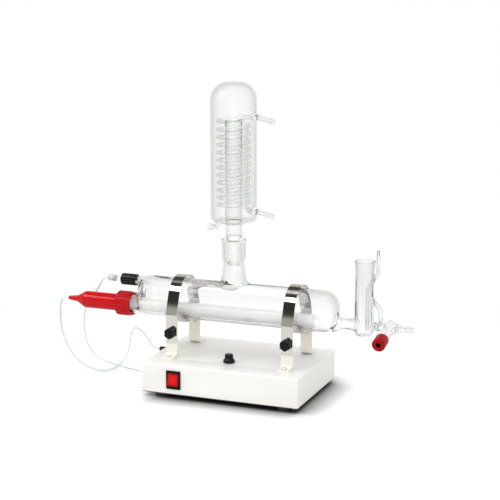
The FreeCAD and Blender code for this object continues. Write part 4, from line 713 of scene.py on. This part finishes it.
def fused(base, steps):
    # Welds shells to the base or cuts them from it, in order, as glass is blown together.
    def holder(shell):
        mesh = bpy.data.meshes.new("fusing")
        shell.to_mesh(mesh)
        shell.free()
        made = bpy.data.objects.new("fusing", mesh)
        bpy.context.scene.collection.objects.link(made)
        return made

    whole = holder(base)
    others = [holder(shell) for _, shell in steps]
    for (operation, _), other in zip(steps, others):
        step = whole.modifiers.new(operation, "BOOLEAN")
        step.operation = operation
        step.solver = "EXACT"
        step.object = other
    depsgraph = bpy.context.evaluated_depsgraph_get()
    mesh = bpy.data.meshes.new_from_object(whole.evaluated_get(depsgraph))
    shell = bmesh.new()
    shell.from_mesh(mesh)
    bmesh.ops.remove_doubles(shell, verts=shell.verts, dist=SAME_SPOT)
    bpy.data.meshes.remove(mesh)
    for used in [whole] + others:
        bpy.data.meshes.remove(used.data)
    return shell


def turned(direction, degrees, axis):
    return Matrix.Rotation(math.radians(degrees), 3, axis) @ Vector(direction)


class DISTILLER_OT_control_box(bpy.types.Operator):
    """Dresses the control box, its feet, fasteners, glands and the board inside it"""
    bl_idname = "distiller.control_box"
    bl_label = "Control box"

    def execute(self, context):
        edge = sizes().edge_round
        skin("base_cover", box_paint(), edge)
        skin("bottom_plate", plate_paint(), edge / 2)
        skin("rubber_feet", foot_rubber(), edge)
        for node in ("base_screws", "base_nuts"):
            skin(node, screw_steel(), edge / 2)
        for node in ("heater_gland", "sensor_gland", "mains_gland", "gland_nuts"):
            skin(node, black_plastic(), edge / 2)
        skin("control_board", board_green(), edge / 4)
        skin("heat_sink", turned_aluminium(), edge / 4)
        skin("terminal_block", pale_plastic(), edge / 2)
        return {"FINISHED"}


class DISTILLER_OT_switch(bpy.types.Operator):
    """Dresses the rocker switch and its bezel"""
    bl_idname = "distiller.switch"
    bl_label = "Switch"

    def execute(self, context):
        skin("switch_housing", black_plastic(), sizes().edge_round)
        skin("switch_rocker", rocker_plastic(), sizes().edge_round)
        return {"FINISHED"}


class DISTILLER_OT_heat_control(bpy.types.Operator):
    """Turns the heat control's knob with its grip flutes, and dresses its body, nut and shaft"""
    bl_idname = "distiller.heat_control"
    bl_label = "Heat control"

    def execute(self, context):
        skin("pot_body", turned_aluminium(), 0.1)
        skin("pot_nut", screw_steel(), 0.2)
        skin("control_shaft", turned_aluminium(), 0.2)
        foot = Vector((0, KNOB_MIDDLE * MM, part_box("control_knob")[0].z))
        outline = rounded([(0, 7.6), (0, 9.5, 0.3), (4, 9.5, 0.5), (5, 8.3, 0.6), (6.4, 7, 0.5),
                           (13.5, 6.7, 0.9), (13.5, 0), (11.6, 0), (11.6, 3), (4.6, 3),
                           (4.6, 7.6)])
        knob = lathe(outline, foot / MM, (0, 0, 1), 144)
        # The flutes lie on the grip alone, and this share of its radius deep.
        inner, outer, start, stop = [length * MM for length in (6.5, 7.2, 7, 12.8)]
        depth = 0.035
        for vert in knob.verts:
            spot = vert.co - foot
            if inner < math.hypot(spot.x, spot.y) < outer and start < spot.z < stop:
                wave = math.cos(math.atan2(spot.y, spot.x) * sizes().knob_flutes)
                shrink = 1 - depth * max(0, wave)
                vert.co.x = foot.x + spot.x * shrink
                vert.co.y = foot.y + spot.y * shrink
        settle(knob, "control_knob_turned", ["control_knob"], black_plastic())
        return {"FINISHED"}


class DISTILLER_OT_clamps(bpy.types.Operator):
    """Dresses the posts, cradles, straps and clamp knobs that hold the boiler"""
    bl_idname = "distiller.clamps"
    bl_label = "Clamps"

    def execute(self, context):
        edge = sizes().edge_round
        for side in ("left", "right"):
            for end in ("front", "rear"):
                skin(f"post_{end}_{side}", post_paint(), edge)
            skin(f"cradle_{side}", cradle_steel(), edge / 3, 14)
            skin(f"strap_{side}", strap_steel(), edge / 3, 14)
            skin(f"clamp_washer_{side}", screw_steel(), 0.1)
            skin(f"clamp_knob_{side}", black_plastic(), 0.5)
        skin("cradle_pads", silicone(), 0.2)
        skin("strap_bolts", screw_steel(), 0.2)
        skin("clamp_nuts", screw_steel(), 0.2)
        return {"FINISHED"}


class DISTILLER_OT_boiler(bpy.types.Operator):
    """Blows the boiler in one with the level vessel, its side tubes and the valve's glass"""
    bl_idname = "distiller.boiler"
    bl_label = "Boiler and level vessel"

    def execute(self, context):
        up = (0, 0, 1)
        right = (1, 0, 0)
        base = Vector((VESSEL_FOOT[0], 0, BOILER_AXIS[2]))
        vessel = rounded([(0, 0), (0, 15.55, 7), (109, 15.55, 6), (122, 16.8, 1),
                          (123, 17.2, 0.4), (123, 0)], 8)
        hollow = rounded([(1.6, 0), (1.6, 13.9, 5.4), (109, 13.9, 5), (121, 15, 2), (124, 15.6),
                          (124, 0)], 8)
        passage = [(192, 0), (192, 7.6), (197.7, 8.6), (203.2, 10.6), (216.5, 10.6), (216.5, 0)]
        port = [(12, 0), (12, 4.9), (17.5, 4.9), (17.5, 0)]
        over = [(12, 0, 28.4), (27.5, 0, 10), (27.5, 0, -11.5)]
        over_bore = [(9, 0, 32), (27.5, 0, 10), (27.5, 0, -15)]
        inlet = [(5, 0, -26), (5, 0, 44), (22, 0, 70), (22, 0, 107)]
        inlet_bore = [(5, 0, -27), (5, 0, 44), (22, 0, 70), (22, 0, 109)]
        bead = rounded([(-3, 0), (-3, 3, 0.5), (-1.2, 4.2, 0.9), (0, 3.1, 0.8), (0, 0)])

        def bend(corners, radius):
            return pipe(bent([base + Vector(c) for c in corners], 6), radius, 0)

        glass = fused(merged("boiler"), [
            ("UNION", lathe(vessel, VESSEL_FOOT, up)),
            ("UNION", bend(over, 3.8)),
            ("DIFFERENCE", lathe(hollow, VESSEL_FOOT, up)),
            ("DIFFERENCE", lathe(passage, LINK_AXIS, right)),
            ("UNION", merged("drain_valve")),
            ("DIFFERENCE", lathe(port, VALVE_AXIS, right)),
            ("DIFFERENCE", bend(over_bore, 2.4)),
            ("UNION", bend(inlet, 3.1)),
            ("UNION", lathe(bead, base + Vector((22, 0, 108)), up, 48)),
            ("DIFFERENCE", bend(inlet_bore, 1.9))])
        settle(glass, "boiler_glass",
               ["boiler", "level_vessel", "inlet_tube", "overflow_tube", "drain_valve"],
               clear_glass(), 40)
        return {"FINISHED"}


class DISTILLER_OT_heater(bpy.types.Operator):
    """Makes the heater: sheath, core, winding, seal, screw cap and boot"""
    bl_idname = "distiller.heater"
    bl_label = "Heater"

    def execute(self, context):
        along = (1, 0, 0)
        sheath = rounded([(-240, 10.5), (-240, 12, 0.5), (139.5, 12, 11), (139.5, 0), (138, 0),
                          (138, 10.5, 9.6)], 10)
        settle(lathe(sheath, HEATER_AXIS, along), "heater_sheath_glass", ["heater_sheath"],
               inner_glass())
        skin("heater_core", ceramic(), 0)
        skin("heater_winding", resistance_wire(), 0, 60)
        skin("heater_seal", silicone(), 0.3)
        skin("heater_cap", red_plastic(), 0.25)
        boot = rounded([(-222.8, 12.05), (-222.8, 14.5, 0.8), (-286, 14.5, 9), (-302, 5.6, 6),
                        (-319.3, 3.2, 0.8), (-319.3, 0), (-290, 0), (-256.8, 0),
                        (-256.8, 12.05)], 8)
        settle(lathe(boot, HEATER_AXIS, along), "heater_boot_moulding", ["heater_boot"],
               boot_rubber())
        return {"FINISHED"}


class DISTILLER_OT_level_sensor(bpy.types.Operator):
    """Makes the level sensor: tube, probe, seal, screw cap and sleeve"""
    bl_idname = "distiller.level_sensor"
    bl_label = "Level sensor"

    def execute(self, context):
        tube = rounded([(-233, 3.2), (-233, 4.2, 0.3), (-0.5, 4.2, 3.9), (-0.5, 0), (-1.5, 0),
                        (-1.5, 3.2, 3)], 8)
        settle(lathe(tube, SENSOR_AXIS, (1, 0, 0), 48), "sensor_tube_glass", ["sensor_tube"],
               inner_glass())
        skin("sensor_probe", ptfe(), 0.3)
        skin("sensor_seal", silicone(), 0.3)
        skin("sensor_cap", cap_black(), 0.3)
        skin("sensor_sleeve", sleeve_clear(), 0.6)
        return {"FINISHED"}


class DISTILLER_OT_condenser(bpy.types.Operator):
    """Blows the condenser: jacket, stem, coil, hose nozzles and distillate outlet"""
    bl_idname = "distiller.condenser"
    bl_label = "Condenser"

    def execute(self, context):
        up = (0, 0, 1)
        jacket = rounded([(28, 0), (28, 38.3, 10), (259, 38.3, 30), (259, 0)], 12)
        hollow = rounded([(29.8, 0), (29.8, 36.5, 8.2), (257.2, 36.5, 28.2), (257.2, 0)], 12)
        hole = [(26, 0), (26, 13), (31, 13), (31, 0)]
        stem = rounded([(-44, 7.2), (-44, 9, 0.5), (-35, 15.45, 1), (0, 17.2, 1), (1, 17.2, 1),
                        (4, 14, 1.5), (197, 14, 0.6), (197, 12.2, 0.6), (-33, 12.2, 2),
                        (-39.5, 7.2, 1)], 5)
        steps = []
        cuts = [("DIFFERENCE", lathe(hollow, JOINT_TOP, up, 128)),
                ("DIFFERENCE", lathe(hole, JOINT_TOP, up))]
        tilted = turned((1, 0, 0), NOZZLE_TILT, "Y")
        for level in reversed(COIL_ENDS):
            outline = rounded([(34, 0), (34, 8.6), (37.6, 8.4, 2), (42.5, 4.3, 4),
                               (62, 4.2, 0.4), (62.8, 5.3, 0.3), (66.6, 4.1, 0.3), (67.2, 5.3, 0.3),
                               (72, 4, 0.4), (72, 0)], 4)
            where = Vector(JOINT_TOP) + Vector((0, 0, level + NOZZLE_RISE))
            steps.append(("UNION", lathe(outline, where, tilted, 48)))
            bore = [(28, 0), (28, 2.6), (73, 2.6), (73, 0)]
            cuts.append(("DIFFERENCE", lathe(bore, where, tilted, 32)))
        foot = Vector(JOINT_TOP) + Vector((0, 0, 28))
        spots = ((-22.2, -4.2, 1.7), (-27, -9, -9), (-31, -26, -5))
        outlet = bent([foot + Vector(p) for p in spots], 6)
        heading = (outlet[-1] - outlet[-2]).normalized()
        flare = rounded([(-4.5, 0), (-4.5, 4.4, 0.5), (0, 6.1, 0.5), (0, 0)])
        mouth = [(-4.5, 0), (-4.5, 2.9), (0.2, 4.8), (0.2, 0)]
        inside = outlet[:-1] + [outlet[-1] + heading]
        steps += [("UNION", pipe(outlet, 4.5, 0)), ("UNION", lathe(flare, outlet[-1], heading, 48))]
        cuts += [("DIFFERENCE", pipe(inside, 3, 0)),
                 ("DIFFERENCE", lathe(mouth, outlet[-1], heading, 48)),
                 ("UNION", lathe(stem, JOINT_TOP, up))]
        glass = fused(lathe(jacket, JOINT_TOP, up, 128), steps + cuts)
        settle(glass, "condenser_glass",
               ["condenser_jacket", "condenser_stem", "hose_nozzles", "distillate_outlet"],
               clear_glass(), 50)
        self.coil()
        return {"FINISHED"}

    def coil(self):
        # The coil's ends bend out of the winding in an arc and then run straight to the wall.
        radius, lead, foot, wall = 24.7, 9.0, 57.0, 36
        turns = sizes().coil_turns
        pitch = sizes().coil_pitch
        opening = math.asin(lead / (radius + lead))
        out = (radius + lead) * math.cos(opening)
        low, high = COIL_ENDS
        top = foot + pitch * (turns - 1)
        steps, end_steps = 48, 8
        total = 2 * math.pi * turns - 2 * opening
        points = []
        for step in range(steps * turns + 1):
            share = step / (steps * turns)
            angle = opening + total * share
            turn = share * turns
            if turn < 0.5:
                level = low + (foot - low) * turn * 2
            elif turn > turns - 0.5:
                level = high - (high - top) * (turns - turn) * 2
            else:
                level = foot + (top - foot) * (turn - 0.5) / (turns - 1)
            points.append(Vector((radius * math.cos(angle), radius * math.sin(angle), level)))
        begin = []
        for step in range(end_steps):
            bend = (math.pi / 2 - opening) * step / end_steps
            begin.append(Vector((out - lead * math.sin(bend), lead - lead * math.cos(bend), 0)))
        end = [Vector((p.x, -p.y, high)) for p in reversed(begin)]
        begin = [Vector((p.x, p.y, low)) for p in begin]
        route = [Vector((wall, 0, low))] + begin + points + end + [Vector((wall, 0, high))]
        route = [p + Vector(JOINT_TOP) for p in route]
        settle(pipe(route, 4.2, 3.0, 6), "condenser_coil_glass", ["condenser_coil"],
               coil_glass(), 60)


class DISTILLER_OT_drain_valve(bpy.types.Operator):
    """Makes the drain valve's spindle and knob"""
    bl_idname = "distiller.drain_valve"
    bl_label = "Drain valve"

    def execute(self, context):
        skin("valve_spindle", ptfe(), 0.3)
        skin("valve_knob", valve_red(), 0.3)
        return {"FINISHED"}


class DISTILLER_OT_leads(bpy.types.Operator):
    """Lays the heater's and the sensor's leads along their routes"""
    bl_idname = "distiller.leads"
    bl_label = "Leads"

    def execute(self, context):
        # The sensor's lead is round. The heater's is a flat twin that turns as it goes.
        thin = self.line("sensor_lead_skin", SENSOR_ROUTE)
        thin.bevel_depth = 1.2 * MM
        thin.bevel_resolution = 4
        thin.use_fill_caps = True
        thin.materials.append(lead_skin())
        piece = bpy.data.objects.new("sensor_lead_skin", thin)
        context.scene.collection.objects.link(piece)
        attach(piece, BODY_OF["sensor_lead"])
        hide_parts("sensor_lead")

        bare = self.line("heater_line", HEATER_ROUTE)
        holder = bpy.data.objects.new("heater_line", bare)
        mesh = bpy.data.meshes.new_from_object(holder)
        path = [v.co.copy() for v in mesh.vertices]
        bpy.data.objects.remove(holder)
        bpy.data.meshes.remove(mesh)
        piece = settle(self.ribbon(path), "heater_lead_ribbon", ["heater_lead"], lead_skin(), 60)
        return {"FINISHED"}

    def line(self, name, route):
        curve = bpy.data.curves.new(name, "CURVE")
        curve.dimensions = "3D"
        spline = curve.splines.new("NURBS")
        spline.points.add(len(route) - 1)
        for spot, point in zip(spline.points, route):
            spot.co = (*point, 1)
        spline.order_u = 3
        spline.use_endpoint_u = True
        spline.resolution_u = 12
        return curve

    def ribbon(self, path):
        # The section's wide way at shares of the length: level, in the loop's plane, level.
        wide_ways = ((0, (0, 1, 0)), (0.1, (0, 1, 0)), (0.2, (0.93, 0.37, 0)),
                     (0.34, (0.8, 0.3, 0.5)), (0.42, (0, 0.35, 0.93)), (0.52, (0, 0.35, 0.93)),
                     (0.62, (-0.37, 0.93, 0)), (1, (-0.37, 0.93, 0)))
        frames = []
        for index, point in enumerate(path):
            ahead = path[min(index + 1, len(path) - 1)] - path[max(index - 1, 0)]
            ahead.normalize()
            share = index / (len(path) - 1)
            for (start, first), (stop, second) in zip(wide_ways, wide_ways[1:]):
                if start <= share <= stop:
                    wide = Vector(first).lerp(Vector(second), (share - start) / (stop - start))
            across = (wide - ahead * wide.dot(ahead)).normalized()
            frame_here = Matrix((across, ahead.cross(across), ahead)).transposed().to_4x4()
            frames.append(Matrix.Translation(point) @ frame_here)
        shell = bmesh.new()
        ring = bmesh.ops.create_circle(shell, cap_ends=False, segments=20, radius=1)["verts"]
        # Two round wires side by side under one skin, which is lower between them.
        half_wide, half_high, waist, lobe = 2.2, 1.15, 0.8, 0.4
        for vert in ring:
            full = waist + (1 - waist) * min(1, abs(vert.co.x) / lobe)
            vert.co = Vector((vert.co.x * half_wide, vert.co.y * half_high * full, 0)) * MM
        edges = shell.edges[:]
        bmesh.ops.transform(shell, matrix=frames[0], verts=ring)
        bmesh.ops.contextual_create(shell, geom=edges)
        for before, after in zip(frames, frames[1:]):
            grown = bmesh.ops.extrude_edge_only(shell, edges=edges)["geom"]
            ring = [part for part in grown if isinstance(part, bmesh.types.BMVert)]
            edges = [part for part in grown if isinstance(part, bmesh.types.BMEdge)]
            bmesh.ops.transform(shell, matrix=after @ before.inverted(), verts=ring)
        bmesh.ops.contextual_create(shell, geom=edges)
        bmesh.ops.recalc_face_normals(shell, faces=shell.faces)
        return shell


class DISTILLER_OT_stage(bpy.types.Operator):
    """Sets the floor, the surroundings, the lamps and the camera"""
    bl_idname = "distiller.stage"
    bl_label = "Stage"

    def execute(self, context):
        scene = context.scene
        scene.view_settings.view_transform = "Standard"
        # A look through the coil and the stem passes sixteen faces of glass, and some mirror it.
        bounces = 32
        scene.cycles.max_bounces = bounces
        scene.cycles.transmission_bounces = bounces
        scene.cycles.glossy_bounces = bounces
        self.surroundings(scene)
        self.floor()
        self.flag()
        # Each lamp's place and width in metres and its power in watts.
        self.lamp("overhead", (0.0, -0.2, 1.9), 1.6, 7.5)
        self.lamp("key", (-1.3, -0.9, 1.4), 1.2, 7)
        self.lamp("fill", (0.6, -2.0, 0.8), 1.4, 4.6)
        lens = bpy.data.cameras.new("camera")
        lens.lens = CAMERA_LENS
        lens.sensor_width = 36
        lens.clip_end = 20
        camera = bpy.data.objects.new("camera", lens)
        camera.location = CAMERA_PLACE
        camera.rotation_euler = [math.radians(turn) for turn in CAMERA_TURN]
        scene.collection.objects.link(camera)
        scene.camera = camera
        return {"FINISHED"}

    def surroundings(self, scene):
        world = bpy.data.worlds.new("studio")
        scene.world = world
        shading = Shading(world)
        seen = white_to_the_eye(shading)
        direction = shading.node("ShaderNodeTexCoord")
        height = shading.share(direction, 2)
        depth = shading.share(direction, 1)
        # Steel and plastic mirror a pale room with a dark flag before it and one behind it.
        front = shading.node("ShaderNodeValToRGB", {"stops": [
            (0.0, (0.72, 0.67, 0.6)), (0.5, (0.72, 0.67, 0.6)), (0.52, (0.5, 0.48, 0.42)),
            (0.71, (0.5, 0.48, 0.42)), (0.725, (0.045, 0.043, 0.04)), (0.935, (0.05, 0.047, 0.04)),
            (0.965, (0.07, 0.06, 0.05)), (0.975, (0.42, 0.4, 0.36)), (1.0, (0.5, 0.48, 0.45))]},
            [height * 0.5 + 0.5])
        rear = shading.node("ShaderNodeValToRGB", {"stops": [
            (0.0, (0.85, 0.85, 0.85)), (0.62, (0.85, 0.84, 0.82)), (0.68, (0.62, 0.58, 0.5)),
            (0.82, (0.6, 0.56, 0.49)), (0.84, (0.09, 0.075, 0.06)), (0.94, (0.08, 0.07, 0.055)),
            (0.955, (0.42, 0.4, 0.36)), (1.0, (0.5, 0.48, 0.45))]},
            [height * 0.5 + 0.5])
        room = shading.mix(depth > 0, front, rear)
        # A bright window high in front gives the straps their white bands.
        window = (height > 0.66) * (height < 0.85) * (depth < 0)
        room = shading.mix(window, room, (10, 10, 10))
        light = shading.mix(shading.ray("Glossy"), (0.96, 0.965, 0.975), room)
        colour = shading.mix(seen, light, (1, 1, 1))
        shading.surface(shading.node("ShaderNodeBackground", None, [colour, 1.0]))

    def sheet(self, name, size, place):
        # A flat piece of the stage, and the tree of its material.
        shell = bmesh.new()
        bmesh.ops.create_grid(shell, x_segments=2, y_segments=2, size=0.5)
        bmesh.ops.transform(shell, matrix=place @ Matrix.Diagonal((*size, 1, 1)),
                            verts=shell.verts)
        mesh = bpy.data.meshes.new(name)
        shell.to_mesh(mesh)
        shell.free()
        piece = bpy.data.objects.new(name, mesh)
        bpy.context.scene.collection.objects.link(piece)
        mesh.materials.append(bpy.data.materials.new(name))
        return piece, Shading(mesh.materials[0])

    def floor(self):
        floor, shading = self.sheet("floor", (8, 8), Matrix.Identity(4))
        # The paper sweep keeps the shadow near the object and is plain white further off.
        seen = white_to_the_eye(shading)
        away = shading.node("ShaderNodeVectorMath", {"operation": "LENGTH"},
                            [shading.place()], output="Value")
        far = shading.smooth(away, 0.3, 0.75)
        paper = shading.node("ShaderNodeAddShader", None,
                             [shading.emission((1, 1, 1), 0.12),
                              shading.diffuse((0.95, 0.95, 0.95))])
        # A painted shade darkens the paper close before the box, except at its left end, as if the
        # box kept the light of the room's rear off it; ambient occlusion sets it.
        open_air = shading.node("ShaderNodeAmbientOcclusion", {"samples": 8},
                                {"Distance": 0.055, "Normal": (-0.1, 0.8, 0.59)}, output="AO")
        left = shading.smooth(shading.share(shading.place(), 0), -0.09, -0.145)
        lit = shading.larger(open_air ** 1.8, left)
        painted_contact_shade = shading.blend(lit, shading.diffuse((0.01, 0.01, 0.01)), paper)
        near = shading.blend(far, painted_contact_shade, shading.emission((1, 1, 1)))
        shading.surface(shading.blend(seen, shading.diffuse((0.78, 0.76, 0.72)), near))

    def flag(self):
        # A dark card before the object. Only steel and plastic mirror it.
        upright = Matrix.Rotation(math.pi / 2, 4, "X")
        flag, shading = self.sheet("flag", CARD_SIZE, Matrix.Translation(CARD_MIDDLE) @ upright)
        flag.visible_camera = False
        flag.visible_diffuse = False
        flag.visible_transmission = False
        flag.visible_shadow = False
        shading.surface(shading.blend(
            white_to_the_eye(shading), shading.emission((0.04, 0.038, 0.035)),
            shading.node("ShaderNodeBsdfTransparent")))

    def lamp(self, name, where, size, power):
        light = bpy.data.lights.new(name, "AREA")
        light.size = size
        light.energy = power
        lamp = bpy.data.objects.new(name, light)
        lamp.location = where
        lamp.visible_glossy = False
        target = Vector((0, 0, 0.2))
        lamp.rotation_euler = (target - Vector(where)).to_track_quat("-Z", "Y").to_euler()
        bpy.context.scene.collection.objects.link(lamp)


OPERATORS = (
    DISTILLER_OT_stage, DISTILLER_OT_leads, DISTILLER_OT_control_box, DISTILLER_OT_switch,
    DISTILLER_OT_heat_control, DISTILLER_OT_clamps, DISTILLER_OT_boiler, DISTILLER_OT_heater,
    DISTILLER_OT_level_sensor, DISTILLER_OT_condenser, DISTILLER_OT_drain_valve,
)


class DISTILLER_PT_panel(bpy.types.Panel):
    """Lists the distiller's sizes, colours and pieces"""
    bl_idname = "DISTILLER_PT_panel"
    bl_label = "Glass distiller"
    bl_space_type = "VIEW_3D"
    bl_region_type = "UI"
    bl_category = "Distiller"

    def draw(self, context):
        layout = self.layout
        for group in (sizes(), colours()):
            for name in group.bl_rna.properties.keys():
                if name not in ("rna_type", "name"):
                    layout.prop(group, name)
        for operator in OPERATORS:
            layout.operator(operator.bl_idname)


CLASSES = (DistillerColours, DistillerSizes) + OPERATORS + (DISTILLER_PT_panel,)


def register():
    for kind in CLASSES:
        bpy.utils.register_class(kind)
    bpy.types.Scene.distiller_colours = PointerProperty(type=DistillerColours)
    bpy.types.Scene.distiller_sizes = PointerProperty(type=DistillerSizes)


def unregister():
    del bpy.types.Scene.distiller_sizes
    del bpy.types.Scene.distiller_colours
    for kind in reversed(CLASSES):
        bpy.utils.unregister_class(kind)


def main():
    register()
    for operator in OPERATORS:
        group, name = operator.bl_idname.split(".")
        getattr(getattr(bpy.ops, group), name)()


if __name__ == "__main__":
    main()
